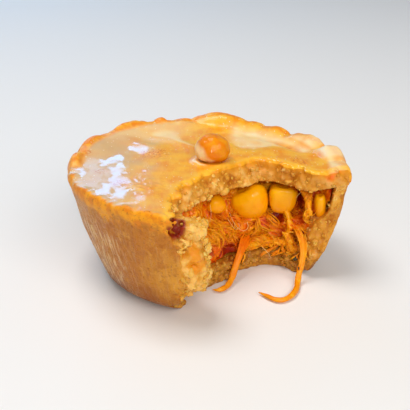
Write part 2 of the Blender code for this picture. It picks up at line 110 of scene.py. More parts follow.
FILLING_RECESS = 4.6
BED_INSET = 1.3  # how far the bed's face lies behind the bite's outline
RECESS_HEIGHTS = (12.5, 16.5)
RECESS_SPAN = ((-4, -1), (30, 32.5))
FOLDS = (
    (((25.0, 0.6, 23.4), (26.2, -1.6, 21.0), (26.6, -2.8, 18.2)), (1.3, 0.6)),
    (((1.2, -4.6, 18.8), (3.0, -5.0, 16.8), (4.6, -4.9, 14.6)), (0.6, 0.9)),
    (((5.6, -2.0, 18.2), (7.2, -1.4, 16.8), (9.0, -1.0, 15.2), (10.4, -0.6, 14.2)), (0.6, 0.8)),
    (((21.0, 2.6, 16.0), (21.8, 1.6, 14.0), (22.2, 0.8, 12.0)), (0.8, 1.0)),
    (((8.0, -3.4, 7.8), (11.0, -0.6, 7.2), (14.5, 1.3, 7.4)), (0.9, 1.1)),
    (((15.2, 1.6, 7.8), (18.6, 2.0, 6.9), (22.0, 0.8, 7.4)), (1.1, 1.0)),
    (((21.4, 0.8, 9.8), (22.4, -0.4, 7.4), (22.8, -1.0, 5.6)), (1.0, 0.6)),
    (((24.4, -3.0, 8.6), (24.9, -4.2, 6.6), (24.9, -5.0, 5.0)), (1.0, 0.6)),
)

# Sweetcorn: node, middle, size across, deep and high, lean to the side in degrees, squareness.
KERNELS = (
    ("sweetcorn_a", (11.4, 4.3, 17.7), (12.2, 7.4, 9.6), 30, 2.3),
    ("sweetcorn_b", (20.0, 4.4, 19.0), (8.6, 6.8, 8.0), -4, 3.4),
    ("sweetcorn_c", (1.9, -0.8, 19.0), (5.6, 5.4, 5.0), 62, 2.5),
    ("sweetcorn_d", (29.6, -1.5, 19.5), (3.7, 4.2, 7.2), 4, 2.4),
)
KERNEL_TAPER = 0.3
KERNEL_DENT = 0.7

# Strands: node, points, radius at each end, share of the length where it has lightened.
STRANDS = (
    ("chicken_strand_left", (
        (11.0, 0.6, 9.2), (9.6, -2.4, 8.2), (8.4, -5.4, 6.4), (7.2, -8.0, 3.8), (6.3, -10.2, 1.9),
        (5.3, -12.4, 1.1), (4.0, -14.2, 1.0), (2.6, -14.9, 0.9), (1.4, -14.6, 0.8),
    ), (1.6, 0.75), 0.65),
    ("chicken_strand_right", (
        (24.0, 1.6, 12.2), (24.9, -2.0, 11.2), (25.4, -5.2, 8.8), (25.1, -7.2, 5.6), (24.3, -8.6, 2.8),
        (23.8, -10.6, 1.2), (23.2, -13.7, 1.0), (21.6, -17.2, 1.0), (19.4, -19.4, 0.95),
        (17.2, -19.2, 0.9), (15.1, -17.3, 0.85), (13.3, -15.6, 0.8),
    ), (1.35, 0.75), 0.12),
)  # fmt: skip

BALL_MIDDLE = (0.6, 1.2)
BALL_WIDTH = 9.0
BALL_HEIGHT = 7.9
BALL_SUNK = 1.0
BALL_SETTLED = 0.6

# --- What the looks add ---

SKIRT = 1.5  # how far the lid's side runs down over the case's, so that no seam shows
PLATEAU_EDGE = (
    (5, 16), (8.2, 11), (12.3, 10.5), (16.4, 12.4), (20.5, 13.2), (24.4, 11.2), (27.6, 10), (33, 13),
)  # fmt: skip
STREAK_RADIUS = 32  # of the wall where its streaks have their width
STREAK_DRAW = 0.13  # how far the streaks are drawn out, as width over length
WRINKLES = (-16, -17.5)  # middle of the small curved wrinkles in the glaze
CRUMB_REACH = 3.6  # how far from the bite's outline the crumb's relief is worked out
CRUST_REACH = 39  # half the width of the box that the crust is meshed in
RIM_RISE = 1.2  # how far the lid's surface climbs towards its rim at the back left
# Broken pastry that fills the inside of the wall by the bite: azimuth, spread, thickness, top.
THICK_CRUMB = ((-12, 34, 7.2, (26, 29)), (92, 26, 3.2, (15, 19)))
STAIN = ((-3.2, -31.0, 18.0), (3.6, 4.6, 6.0))  # where the filling has coloured the broken pastry
# The pit is also painted dark red as shade: it lies in the pocket under a hollow of the filling.
RED_PIT = ((7.4, -4.6, 5.4), (2.8, 3.0, 3.0))  # where red juice has soaked into the base
JUICE_LINE = ((30.6, -6.4, 29.2), (34, -2.4, 29.6), (36.5, 0.7, 29.6))
HAIRS = (
    (
        (5.4, -3.4, 18.0), (6.1, -4.5, 16.6), (7.2, -5.0, 14.8), (9.1, -5.5, 13.6), (10.4, -5.5, 14.5),
        (10.1, -5.2, 16.1),
    ),
    ((4.9, -3.6, 16.4), (5.9, -4.5, 15.1), (7.0, -5.0, 13.9), (8.3, -5.3, 14.4), (7.7, -5.0, 15.7)),
    ((29.9, -1.2, 21.0), (30.3, -1.6, 20.1), (31.1, -2.4, 19.3), (31.8, -2.4, 19.6), (31.5, -2.2, 20.7)),
    ((0.2, -10.0, 22.9), (0.5, -10.2, 20.4), (0.2, -10.0, 18.1)),
    ((23.2, 0.0, 21.0), (24.1, -0.5, 22.7), (25.6, -1.0, 23.8)),
    ((14.6, -2.5, 7.5), (16.2, -3.0, 6.0), (17.1, -3.2, 4.6)),
)  # fmt: skip
HERBS = (((23.8, -2.6, 4.3), 1.4), ((24.1, -8.6, 4.4), 1.0))  # places and widths

VOIDS = (
    ((24.3, 3.0, 19.6), (1.8, 4.6, 4.2)),
    ((9.0, 1.4, 23.4), (3.4, 2.4, 1.2)),
    ((1.4, -10.6, 8.6), (1.4, 2.8, 2.4)),
    ((6.6, -4.4, 6.6), (2.8, 2.8, 2.2)),
    ((7.6, -2.6, 13.6), (1.8, 2.0, 1.0)),
    ((18.8, 3.0, 14.2), (1.8, 2.8, 2.0)),
)
CLUMP_SIZE = 5.0  # of the clumps in which the chicken's fibres lie alike
CLUMP_TURN = 1.6  # how far the clumps are turned, in radians
FIBRE_DRAW = 0.28  # how far the strips in the chicken's face are drawn out, as width over length
BUNDLES = 240
STREWN = 40  # folds strewn over the bed's face
FRINGE = 16  # bundles that hang over the base
FIBRES = 5  # in each bundle
FIBRE_POINTS = 10
FIBRE_SIDES = 4
FINE_SIDES = 5  # of the loose fibres and those along the strands
LOOSE_FIBRES = 360
STRAND_RINGS = 90
STRAND_SIDES = 24
STRAND_FIBRES = 34
STRAND_FIBRE_POINTS = 48
CRUMBS = 900

TARGET = Vector((-0.0011161, 0, 0.0185437))  # what the camera looks at, in metres
CAMERA_DISTANCE = 0.22
CAMERA_ELEVATION = 23.2518
CAMERA_ROLL = 0.986  # degrees
PHOTO_SIDE = 410
FOCAL_PIXELS = 817.87
SENSOR = 36
FLOOR_RADIUS = 3.0  # in metres, as are the lights' distances and sizes

# Painted shade: the dark red put in hollows and holes.
HOLLOW_RED = (0.27, 0.018, 0.001)
# Lights: name, azimuth from -Y, elevation, distance, width and height, power, colour.
LIGHTS = (
    ("window", -153.5, 23, 0.75, (0.38, 0.34), 0.75, (0.20, 0.56, 1.0)),
    ("pane", -171.0, 21.8, 0.75, (0.035, 0.12), 0.08, (0.14, 0.50, 1.0)),
    ("sky", -100, 74, 0.8, (0.4, 0.4), 3.5, (1.0, 0.97, 0.94)),
    ("fill", 26, 36, 0.9, (0.6, 0.5), 3.6, (1.0, 0.96, 0.90)),
    ("lamp", 6, 26, 0.8, (0.07, 0.07), 1.3, (1.0, 0.96, 0.90)),
)
WORLD_COLOUR = (1.0, 0.98, 0.95)
WORLD_STRENGTH = 0.24


# --- Numbers on arrays ---


def ramp(value, start, end):
    """0 before start, 1 after end, and smooth between them."""
    t = np.clip((value - start) / (end - start), 0, 1)
    return t * t * (3 - 2 * t)


def bump(distance, reach):
    """1 at the middle, falling smoothly to 0 at reach."""
    return 1 - ramp(np.abs(distance), 0, reach)


def turn_between(a, b):
    """The angle from b to a in degrees, from -180 to 180."""
    return (a - b + 180) % 360 - 180


def azimuth_of(x, y):
    """The angle round the pie in degrees from -Y, positive towards +X."""
    return np.degrees(np.arctan2(x, -y))


def plan_distance(x, y, middle):
    return np.hypot(x - middle[0], y - middle[1])


def in_radii(points, middle, radii):
    """Distance of each point from an ellipsoid's middle, as a share of its radii."""
    return np.linalg.norm((points - np.array(middle)) / np.array(radii), axis=-1)


def unit_length(vectors):
    return vectors / np.maximum(np.linalg.norm(vectors, axis=-1, keepdims=True), 1e-9)


def between_ends(ends, share):
    """A value that changes evenly from the first end to the second."""
    return ends[0] + (ends[1] - ends[0]) * share


def soft_max(a, b, width):
    """The greater of two fields, with the edge where they meet rounded over this width."""
    near = np.clip(1 - np.abs(a - b) / width, 0, 1)
    return np.maximum(a, b) + near * near * width / 4


def soft_min(a, b, width):
    return -soft_max(-a, -b, width)


LATTICE = 32
random_lattice = np.random.default_rng(SEED)
SLOPES = random_lattice.normal(size=(LATTICE,) * 3 + (3,)).astype(np.float32)
SLOPES /= np.linalg.norm(SLOPES, axis=-1, keepdims=True)
PLACES = random_lattice.random((LATTICE,) * 3 + (3,), dtype=np.float32)


def noise(points, size, shift=0):
    """Smooth noise from about -1 to 1 at each point, in cells of this size."""
    place = np.asarray(points, np.float32) / size + shift * 7.31
    low = np.floor(place)
    inside = place - low
    fade = inside**3 * (inside * (inside * 6 - 15) + 10)
    cell = low.astype(np.int32)
    total = np.zeros(len(place), np.float32)
    for corner in itertools.product((0, 1), repeat=3):
        i, j, k = ((cell + corner) % LATTICE).T
        weight = np.prod(np.where(corner, fade, 1 - fade), axis=1)
        total += weight * ((inside - corner) * SLOPES[i, j, k]).sum(axis=1)
    return total * 1.7


def plan_noise(x, y, size, shift=0):
    """Noise over the plan, in the shape of x."""
    flat = np.stack([np.ravel(x), np.ravel(y), np.zeros(np.size(x))], axis=1)
    return noise(flat, size, shift).reshape(np.shape(x))


def lumps(points, size, shift=0):
    """1 at the middle of each rounded lump, and below 0 in the creases between lumps."""
    place = np.asarray(points, np.float32) / size + shift * 5.17
    cell = np.floor(place).astype(np.int32)
    nearest = np.full(len(place), 9, np.float32)
    for step in itertools.product((-1, 0, 1), repeat=3):
        other = cell + step
        i, j, k = (other % LATTICE).T
        nearest = np.minimum(nearest, ((place - other - PLACES[i, j, k]) ** 2).sum(axis=1))
    return 1 - 1.6 * np.sqrt(nearest)


def even_line(points, count):
    """This many points at even spacing on a Catmull-Rom curve through the given ones."""
    points = np.array(points, float)
    ends = np.vstack([2 * points[0] - points[1], points, 2 * points[-1] - points[-2]])
    a, b, c, d = (ends[i : len(ends) - 3 + i, None] for i in range(4))
    t = np.linspace(0, 1, 12, endpoint=False)[None, :, None]
    dense = (2 * b + (c - a) * t + (2 * a - 5 * b + 4 * c - d) * t**2 + (3 * b - a - 3 * c + d) * t**3) / 2
    dense = np.vstack([dense.reshape(-1, points.shape[1]), points[-1:]])
    lengths = np.append(0, np.cumsum(np.linalg.norm(np.diff(dense, axis=0), axis=1)))
    even = np.linspace(0, lengths[-1], count)
    return np.stack([np.interp(even, lengths, side) for side in dense.T], axis=1)


def line_distance(points, line):
    """Distance from each point to a line of points, and how far along the line that is, from 0 to 1."""
    start, along = line[:-1], np.diff(line, axis=0)
    away = points[:, None] - start
    share = np.clip((away * along).sum(axis=2) / (along**2).sum(axis=1), 0, 1)
    gap = np.linalg.norm(away - share[..., None] * along, axis=2)
    nearest = gap.argmin(axis=1)
    rows = np.arange(len(points))
    return gap[rows, nearest], (nearest + share[rows, nearest]) / len(start)


# --- Fields ---


class Grid:
    """Evenly spaced places in a box."""

    def __init__(self, low, high, step):
        self.low = np.array(low, np.float32)
        self.step = step
        axes = [np.arange(a, b + step, step, dtype=np.float32) for a, b in zip(low, high)]
        self.shape = tuple(len(axis) for axis in axes)
        self.x, self.y, self.z = axes[0][:, None, None], axes[1][None, :, None], axes[2][None, None, :]
        self.radius = np.hypot(self.x, self.y)
        self.azimuth = azimuth_of(self.x, self.y)

    def places(self, chosen):
        """The points where the chosen array is true."""
        return np.argwhere(chosen).astype(np.float32) * self.step + self.low


class Field:
    """Values at evenly spaced places, read between them."""

    def __init__(self, values, low, steps):
        self.values = values
        self.low = np.array(low, np.float32)
        self.steps = np.array(steps, np.float32)

    def at(self, points):
        place = (points - self.low) / self.steps
        place = np.clip(place, 0, np.array(self.values.shape) - 1.001)
        cell = place.astype(np.int32)
        inside = place - cell
        total = 0
        for corner in itertools.product((0, 1), repeat=3):
            i, j, k = (cell + corner).T
            total = total + np.prod(np.where(corner, inside, 1 - inside), axis=1) * self.values[i, j, k]
        return total

    def on(self, grid):
        """The field at every place of a grid."""
        values = self.values
        for axis, count in enumerate(grid.shape):
            places = grid.low[axis] + grid.step * np.arange(count, dtype=np.float32)
            place = np.clip((places - self.low[axis]) / self.steps[axis], 0, values.shape[axis] - 1.001)
            cell = place.astype(np.int32)
            shape = [1, 1, 1]
            shape[axis] = count
            share = (place - cell).reshape(shape)
            values = values.take(cell, axis) * (1 - share) + values.take(cell + 1, axis) * share
        return values

    def slope(self, points):
        """The unit direction in which the field grows."""
        reach = 0.5
        sides = [
            self.at(points + np.eye(3)[axis] * reach) - self.at(points - np.eye(3)[axis] * reach)
            for axis in range(3)
        ]
        return unit_length(np.stack(sides, axis=1))


def wall_radius(z):
    z = np.maximum(z, 0)
    radius = FOOT_RADIUS + (RIM_RADIUS - FOOT_RADIUS) * (z / LID_HEIGHT) ** WALL_CURVE
    return radius - FOOT_INSET * np.maximum(0, 1 - z / FOOT_ROUNDING) ** 2


def cavity_radius(z):
    fillet = np.maximum(0, 1 - (z - BASE_THICKNESS) / FLOOR_FILLET)
    return wall_radius(z) - WALL_THICKNESS - FLOOR_FILLET * fillet * fillet


def swell(azimuth, z):
    across = bump(turn_between(azimuth, 90), 60)
    return WALL_SWELL * across * np.sin(np.pi * np.clip(z, 0, CASE_HEIGHT) / CASE_HEIGHT)


def thick_crumb(azimuth, z):
    """How much further in the wall's crumb reaches by the bite."""
    thickness = 0
    for middle, spread, depth, (low, high) in THICK_CRUMB:
        at = bump(turn_between(azimuth, middle), spread) ** 0.5
        thickness = np.maximum(thickness, depth * at * (1 - ramp(z, low, high)))
    return thickness


def lobe_at(azimuth):
    """(height, share of a whole lobe) of the pinched rim at each azimuth."""
    height, share = np.zeros_like(azimuth), np.zeros_like(azimuth)
    for middle, half_width, lobe_height in LOBES:
        across = np.maximum(0, 1 - (turn_between(azimuth, middle) / half_width) ** 2)
        height = np.maximum(height, lobe_height * across)
        share = np.maximum(share, across)
    return height, share


def rim_radius(azimuth):
    lobed = ramp(np.abs(azimuth), 78, 90)
    return RIM_RADIUS - NOTCH * lobed * (1 - lobe_at(azimuth)[1] ** 0.5)


def lid_top(x, y):
    """Height of the lid's plain upper surface."""
    radius = np.hypot(x, y)
    azimuth = azimuth_of(x, y)
    rise = RIM_RISE * (1 - ramp(np.abs(turn_between(azimuth, -134)), 30, 50))
    height = LID_HEIGHT + rise * ramp(radius, 25, 34.2)
    height = height + np.maximum(lobe_at(azimuth)[0] - rise, 0) * lobe_swell(radius, azimuth)
    at_trough = bump(turn_between(azimuth, TROUGH_AZIMUTH), TROUGH_SPREAD)
    height = height - TROUGH_DEPTH * at_trough * bump(radius - TROUGH_RING, TROUGH_REACH)
    rounding = EDGE_ROUNDING * (0.5 + 0.5 * ramp(np.abs(azimuth), 74, 90))
    edge = ramp(radius, rim_radius(azimuth) - rounding, rim_radius(azimuth))
    return height - EDGE_DROP * edge * edge


def broken_left(line, z):
    """Moves the bite's left end to the slanting break of the case's wall."""
    (low, full), (fade, gone) = BREAK_FADE
    share = ramp(z, low, full) * (1 - ramp(z, fade, gone))
    depth = (wall_radius(z) - np.hypot(line[:, 0], line[:, 1])) / WALL_THICKNESS
    through = ramp(depth, 0, 1) * (1 - ramp(depth, 2.2, 4.2))
    bulge = BREAK_BULGE * math.sin(math.pi * min(max(z, 0), LID_HEIGHT) / LID_HEIGHT)
    at_end = (line[:, 0] <= 0) & (line[:, 1] <= BREAK_IN_FRONT_OF)
    moved = line.copy()
    moved[:, 0] += at_end * (bulge + BREAK_SLANT * share * through)
    return moved


def outline_distance(outline, x, y):
    """Distance in plan to the bite's outline: positive in the pie and negative in the bite."""
    gap = line_distance(np.stack([x, y], axis=1), outline)[0]
    start = np.vstack([outline, [BITE_CORNER]])
    end = np.roll(start, -1, axis=0)
    crosses = (start[:, 1] > y[:, None]) != (end[:, 1] > y[:, None])
    rise = np.where(end[:, 1] == start[:, 1], 1e-9, end[:, 1] - start[:, 1])
    at = start[:, 0] + (y[:, None] - start[:, 1]) * (end[:, 0] - start[:, 0]) / rise
    inside = (crosses & (x[:, None] < at)).sum(axis=1) % 2 == 1
    return np.where(inside, -gap, gap)


def bite_field(reshape):
    """Distance to the bite's outline, level by level. reshape moves each level's outline."""
    above, below = even_line(BITE_AT_LID, OUTLINE_POINTS), even_line(BITE_AT_FOOT, OUTLINE_POINTS)
    plan_step, rise, reach = 0.8, 1.0, 40
    side = np.arange(-reach, reach + plan_step, plan_step)
    x, y = (plan.ravel() for plan in np.meshgrid(side, side, indexing="ij"))
    levels = []
    for z in np.arange(-2, 38 + rise, rise):
        share = np.clip(z / LID_HEIGHT, 0, 1.1)
        outline = reshape(below + (above - below) * share, z)
        levels.append(outline_distance(outline, x, y).reshape(len(side), len(side)))
    values = np.stack(levels, axis=2).astype(np.float32)
    return Field(values, (-reach, -reach, -2), (plan_step, plan_step, rise))


CASE_BITE = bite_field(broken_left)
LID_BITE = bite_field(lambda line, z: line)


def crumb_relief(points):
    """How far the broken pastry stands out at each point: most to the left of the bite."""
    relief = 1.15 * lumps(points, 4.4) + 0.9 * lumps(points, 2.3, 3) + 0.35 * lumps(points, 1.1, 7)
    chunky = 1 + 0.5 * (1 - ramp(points[:, 0], -2, 3)) * (1 - ramp(points[:, 1], -22, -16))
    return relief * chunky + 0.7 * noise(points, 5.5, 5) + 0.25 * noise(points, 1.8, 2)


def faired(points):
    """1 where the outer wall is paler: low down, by the bite."""
    azimuth = azimuth_of(points[:, 0], points[:, 1])
    return ramp(azimuth, -36, -14) * (1 - ramp(points[:, 2] + 3 * noise(points, 6, 4), 14, 22))


def soaked(points):
    """How far the filling's juice has browned the broken pastry: most at the base, and by the filling."""
    x, _, z = points.T
    low = (1 - ramp(z, 5.5, 8.0)) * ramp(x, -1, 3)
    left = 0.3 * (1 - ramp(z, 5, 15))
    right = 0.45 * ramp(x, 24, 28) * (1 - ramp(z, 10, 22))
    above = 0.75 * ramp(x, 3, 16) * ramp(z, 25, 28)
    return np.maximum.reduce([low, left, right, above])


def streaked(points):
    """1 where the outer wall has pale streaks at its front left: scratches, with painted glints along them
    and painted light on that side.
    """
    azimuth = azimuth_of(points[:, 0], points[:, 1])
    return bump(turn_between(azimuth, -62), 36)


def hollow_share(points):
    """1 in the lower part of the hole between case and lid, which is painted dark red as shade."""
    return (1 - ramp(in_radii(points, *BREAK_HOLE), 1.1, 1.5)) * (1 - ramp(points[:, 2], 27.8, 29.4))


def juiced(points):
    """Where red juice has run into the crease between lid and wall at the bite's right end."""
    away = line_distance(points, np.array(JUICE_LINE))[0]
    return bump(away + 0.4 * noise(points, 1.5, 4), 1.3)


def stained(points):
    """Where the filling has smeared over the broken pastry."""
    away = in_radii(points, *STAIN)
    return bump(away + 0.5 * noise(points, 2.2, 4) + 0.2 * noise(points, 0.9, 2), 1.0)


def bitten(solid, bite, grid):
    """The solid without its bite, with crumbs standing out of the broken side."""
    broken = bite.copy()
    near = (np.abs(bite) < CRUMB_REACH) & (solid < 1.5)
    broken[near] += crumb_relief(grid.places(near))
    return soft_max(solid, -broken, 0.5)


def ellipsoid(grid, middle, radii):
    axes = (grid.x, grid.y, grid.z)
    parts = [((axis - place) / side) ** 2 for axis, place, side in zip(axes, middle, radii)]
    return (np.sqrt(parts[0] + parts[1] + parts[2]) - 1) * min(radii)


def hole_field(grid):
    """Distance to the ragged hole where the case has broken away from the lid."""
    values = ellipsoid(grid, *BREAK_HOLE)
    near = values < 2
    values[near] += 0.9 * noise(grid.places(near), 1.9, 8) + 0.3 * noise(grid.places(near), 0.9, 3)
    return values


def near_line(grid, line, reach):
    """Which places of a grid lie in the box round a line, widened by reach."""
    low, high = line.min(axis=0) - reach, line.max(axis=0) + reach
    inside = np.ones(grid.shape, bool)
    for axis, start, end in zip((grid.x, grid.y, grid.z), low, high):
        inside &= (axis > start) & (axis < end)
    return inside


def without_tube(solid, grid, points, radii, clearance):
    """The solid with room cut for a tube along the points."""
    line = even_line(points, 40)
    inside = near_line(grid, line, max(radii) + clearance + 1.5)
    gap, share = line_distance(grid.places(inside), line)
    room = gap - between_ends(radii, share) - clearance
    solid[inside] = np.maximum(solid[inside], -room)
    return solid


def tube_field(grid, points, radii):
    """Distance to a tube with a ragged surface, worked out near it only."""
    line = even_line(points, 24)
    values = np.full(grid.shape, 9, np.float32)
    inside = near_line(grid, line, max(radii) + 2.5)
    places = grid.places(inside)
    gap, share = line_distance(places, line)
    values[inside] = gap - between_ends(radii, share) * (1 + 0.4 * fibrous(places, 1.3, 11))
    return values


# --- Meshes ---


def largest_islands(points, faces, least):
    """Points and faces without the loose scraps that hold fewer points than this."""
    label = np.arange(len(points))
    while True:
        lowest = label[faces].min(axis=1)
        new = label.copy()
        np.minimum.at(new, faces.ravel(), np.repeat(lowest, faces.shape[1]))
        new = new[new]
        if (new == label).all():
            break
        label = new
    kept = np.bincount(label, minlength=len(points))[label] >= least
    order = np.cumsum(kept) - 1
    faces = faces[kept[faces[:, 0]]]
    return points[kept], order[faces]


def surface(values, grid, least=400):
    """Points and quads where a field is zero."""
    volume = openvdb.FloatGrid(3.0)
    volume.copyFromArray(np.clip(values, -3, 3).astype(np.float32))
    points, quads = volume.convertToQuads(isovalue=0.0)
    points = points * grid.step + grid.low
    return largest_islands(points, quads.astype(np.int64), least)


def put_in_scene(name, data):
    obj = bpy.data.objects.new(name, data)
    bpy.context.scene.collection.objects.link(obj)
    return obj


def make_object(name, points, faces, **attributes):
    """A smooth-shaded object in metres, with a number at each point for each attribute."""
    mesh = bpy.data.meshes.new(name)
    mesh.vertices.add(len(points))
    mesh.vertices.foreach_set("co", np.asarray(points * MM, np.float32).ravel())
    mesh.loops.add(faces.size)
    mesh.loops.foreach_set("vertex_index", faces.astype(np.int32).ravel())
    mesh.polygons.add(len(faces))
    mesh.polygons.foreach_set("loop_start", np.arange(0, faces.size, faces.shape[1], dtype=np.int32))
    mesh.update(calc_edges=True)
    mesh.shade_smooth()
    for key, values in attributes.items():
        layer = mesh.attributes.new(key, "FLOAT", "POINT")
        layer.data.foreach_set("value", np.asarray(values, np.float32))
    return put_in_scene(name, mesh)


def normals_of(points, faces):
    """Unit normals at the points."""
    a, b, c, d = (points[faces[:, i % faces.shape[1]]] for i in (0, 1, 2, -1))
    across = np.cross(c - a, d - b) if faces.shape[1] == 4 else np.cross(b - a, c - a)
    total = np.zeros_like(points)
    for i in range(faces.shape[1]):
        np.add.at(total, faces[:, i], across)
    return unit_length(total)


def icosphere(subdivisions):
    """Points and triangles of a unit sphere."""
    shape = bmesh.new()
    bmesh.ops.create_icosphere(shape, subdivisions=subdivisions, radius=1)
    points = np.array([vertex.co for vertex in shape.verts])
    faces = np.array([[vertex.index for vertex in face.verts] for face in shape.faces])
    shape.free()
    return points, faces


def sphere_grid(rows, sides, margin):
    """A unit sphere's points, their angles from its pole and round it, and its quads.

    margin is the angle that is left open at each pole, in radians.
    """
    polar = np.linspace(margin, math.pi - margin, rows)
    turn = np.linspace(0, 2 * math.pi, sides, endpoint=False)
    polar, turn = (side.ravel() for side in np.meshgrid(polar, turn, indexing="ij"))
    points = np.stack([np.sin(polar) * np.cos(turn), np.sin(polar) * np.sin(turn), np.cos(polar)], axis=1)
    i, j = np.meshgrid(np.arange(rows - 1), np.arange(sides), indexing="ij")
    a, b = (i * sides + j).ravel(), (i * sides + (j + 1) % sides).ravel()
    return points, polar, turn, np.stack([a, a + sides, b + sides, b], axis=1)


def tubes(paths, radii, facing, sides, flat):
    """Points and triangles of closed tubes.

    paths is (tubes, points, 3), radii (tubes, points), and facing a direction at each point that the
    flat side of the tube turns to. flat is each tube's thickness as a share of its width.
    """
    count, length = radii.shape
    along = unit_length(np.gradient(paths, axis=1))
    sideways = unit_length(np.cross(along, facing))
    upwards = np.cross(sideways, along)
    angle = np.linspace(0, 2 * np.pi, sides, endpoint=False)[None, None, :, None]
    flat = np.reshape(flat, (-1, 1, 1, 1))
    ring = np.cos(angle) * sideways[:, :, None] + np.sin(angle) * upwards[:, :, None] * flat
    points = paths[:, :, None] + ring * radii[:, :, None, None]
    first, final = along[:, 0] * radii[:, :1], along[:, -1] * radii[:, -1:]
    tips = np.stack([paths[:, 0] - first, paths[:, -1] + final], 1)
    points = np.concatenate([points.reshape(count, -1, 3), tips], axis=1)
    i, j = np.meshgrid(np.arange(length - 1), np.arange(sides), indexing="ij")
    a, b = i * sides + j, i * sides + (j + 1) % sides
    walls = [np.stack([a, b + sides, b], -1), np.stack([a, a + sides, b + sides], -1)]
    walls = np.concatenate(walls).reshape(-1, 3)
    j = np.arange(sides)
    last = (length - 1) * sides
    first_tip = np.stack([np.full(sides, length * sides), j, (j + 1) % sides], 1)
    last_tip = np.stack([np.full(sides, length * sides + 1), last + (j + 1) % sides, last + j], 1)
    faces = np.concatenate([walls, first_tip, last_tip])
    faces = (faces[None] + (np.arange(count) * points.shape[1])[:, None, None]).reshape(-1, 3)
    return points.reshape(-1, 3), faces


# --- Crust ---


def crumb_share(points, bite):
    """1 on the broken side, and 0 away from it."""
    return 1 - ramp(bite.at(points), 0.9, 2.2)


def case_field(grid):
    outer = (grid.radius - wall_radius(grid.z) - swell(grid.azimuth, grid.z)) * 0.95
    bite = CASE_BITE.on(grid)
    inner = grid.radius - cavity_radius(grid.z) - swell(grid.azimuth, grid.z)
    inner = inner + thick_crumb(grid.azimuth, grid.z) * (1 - ramp(bite, 4, 9))
    cavity = soft_max(inner, BASE_THICKNESS - grid.z, 1.2)
    solid = soft_max(np.maximum(outer, -grid.z), -cavity, 0.6)
    solid = np.maximum(solid, grid.z - CASE_HEIGHT)
    solid = bitten(solid, bite, grid)
    solid = np.maximum(solid, -hole_field(grid))
    for _, points, radii, _ in STRANDS:
        solid = without_tube(solid, grid, points, radii, GAP)
    return solid


def browned(points):
    """How far the outer wall has browned: most to the left of the bite."""
    azimuth = azimuth_of(points[:, 0], points[:, 1])
    return bump(turn_between(azimuth, -27), 46)


def pressed_wall(points, faces):
    """The crust's outer wall pressed a little unevenly, with faint streaks where it left its tin."""
    z = points[:, 2]
    radius = np.hypot(points[:, 0], points[:, 1])
    outside = ramp(radius - wall_radius(z), -0.9, -0.3) * ramp(z, 0.6, 3.5) * (1 - ramp(z, 29.2, 30.2))
    azimuth = np.arctan2(points[:, 0], -points[:, 1])
    streaks = noise(np.stack([azimuth * 30, z * 0.16, z * 0], axis=1), 1.5, 9)
    relief = 0.3 * noise(points, 11) + 0.08 * noise(points, 3, 2) + 0.05 * noise(points, 1.2, 4)
    relief += 0.07 * streaks
    return points + normals_of(points, faces) * (relief * outside)[:, None]


def make_case():
    grid = Grid((-CRUST_REACH, -CRUST_REACH, -1), (CRUST_REACH, CRUST_REACH, CASE_HEIGHT + 1), CASE_STEP)
    points, faces = surface(case_field(grid), grid)
    points = pressed_wall(points, faces)
    depth = wall_radius(points[:, 2]) - np.hypot(points[:, 0], points[:, 1])
    crumb = crumb_share(points, CASE_BITE) * ramp(depth, 0.15, 0.8)
    crumb = np.maximum(crumb, ramp(depth, 2.5, 3.2))
    # Painted shade: the pit and the hole's lower part are painted dark red.
    pit = 1 - ramp(in_radii(points, *RED_PIT), 0.6, 1.2)
    # The masks below paint light: highlights on the crumb's lumps and shade in its creases, glints on the
    # wall's streaks, and dark red shade in the hole and the pit.
    case = make_object(
        "crust_case_look", points, faces, crumb=crumb, crease=crumb_relief(points), soaked=soaked(points),
        stain=stained(points), juice=juiced(points), browned=browned(points), fair=faired(points),
        streaked=streaked(points), hollow=np.maximum(hollow_share(points), 0.7 * pit),
        floor=1 - ramp(points[:, 2], 4.0, 6.5),
    )  # fmt: skip
    return case, broken_places(points, faces, crumb * (CASE_BITE.at(points) < 6), depth)


def broken_places(points, faces, crumb, depth):
    """The points of the broken pastry, and the direction that it faces there."""
    broken = (crumb > 0.8) & (depth > 0.9)
    return points[broken], normals_of(points, faces)[broken]


def make_crumbs(places, facings):
    """Loose crumbs and flakes that cling to the broken pastry."""
    rng = np.random.default_rng(SEED + 3)
    unit, faces = icosphere(2)
    hole, radii = BREAK_HOLE
    clear = in_radii(places, hole, np.array(radii) + 0.5) > 1
    clear &= (stained(places) < 0.3) & (places[:, 2] > 1.0)
    free = np.flatnonzero(clear)
    weight = np.where(places[free, 2] < 7, 2.5, 1.0)
    chosen = rng.choice(free, CRUMBS, replace=False, p=weight / weight.sum())
    size = np.clip(rng.lognormal(-0.75, 0.5, (CRUMBS, 1, 1)), 0.25, 1.4)
    size = size * np.where(places[chosen, 2] > 25, 0.8, 1)[:, None, None]
    spread = rng.uniform((0.8, 0.6, 0.4), (1.2, 1.0, 0.9), (CRUMBS, 3))[:, None]
    ragged = noise((unit + rng.uniform(0, 30, (CRUMBS, 1, 3))).reshape(-1, 3), 0.8).reshape(CRUMBS, -1, 1)
    turned = np.linalg.qr(rng.normal(size=(CRUMBS, 3, 3)))[0]
    local = unit * spread * size * (1 + 0.6 * ragged)
    middle = places[chosen] - facings[chosen] * size[:, 0] * 0.05
    points = (middle[:, None] + np.einsum("nij,nkj->nki", turned, local)).reshape(-1, 3)
    points[:, 2] = np.maximum(points[:, 2], 0.05)
    flipped = np.linalg.det(turned) < 0
    faces = np.where(flipped[:, None, None], faces[None, :, ::-1], faces[None])
    faces = (faces + (np.arange(CRUMBS) * len(unit))[:, None, None]).reshape(-1, 3)
    crease = np.repeat(rng.uniform(-0.6, 1.0, CRUMBS), len(unit))
    floor = np.repeat(1 - ramp(middle[:, 2], 4.0, 6.5), len(unit))
    return make_object("crust_crumbs", points, faces, crease=crease, soaked=soaked(points), floor=floor)


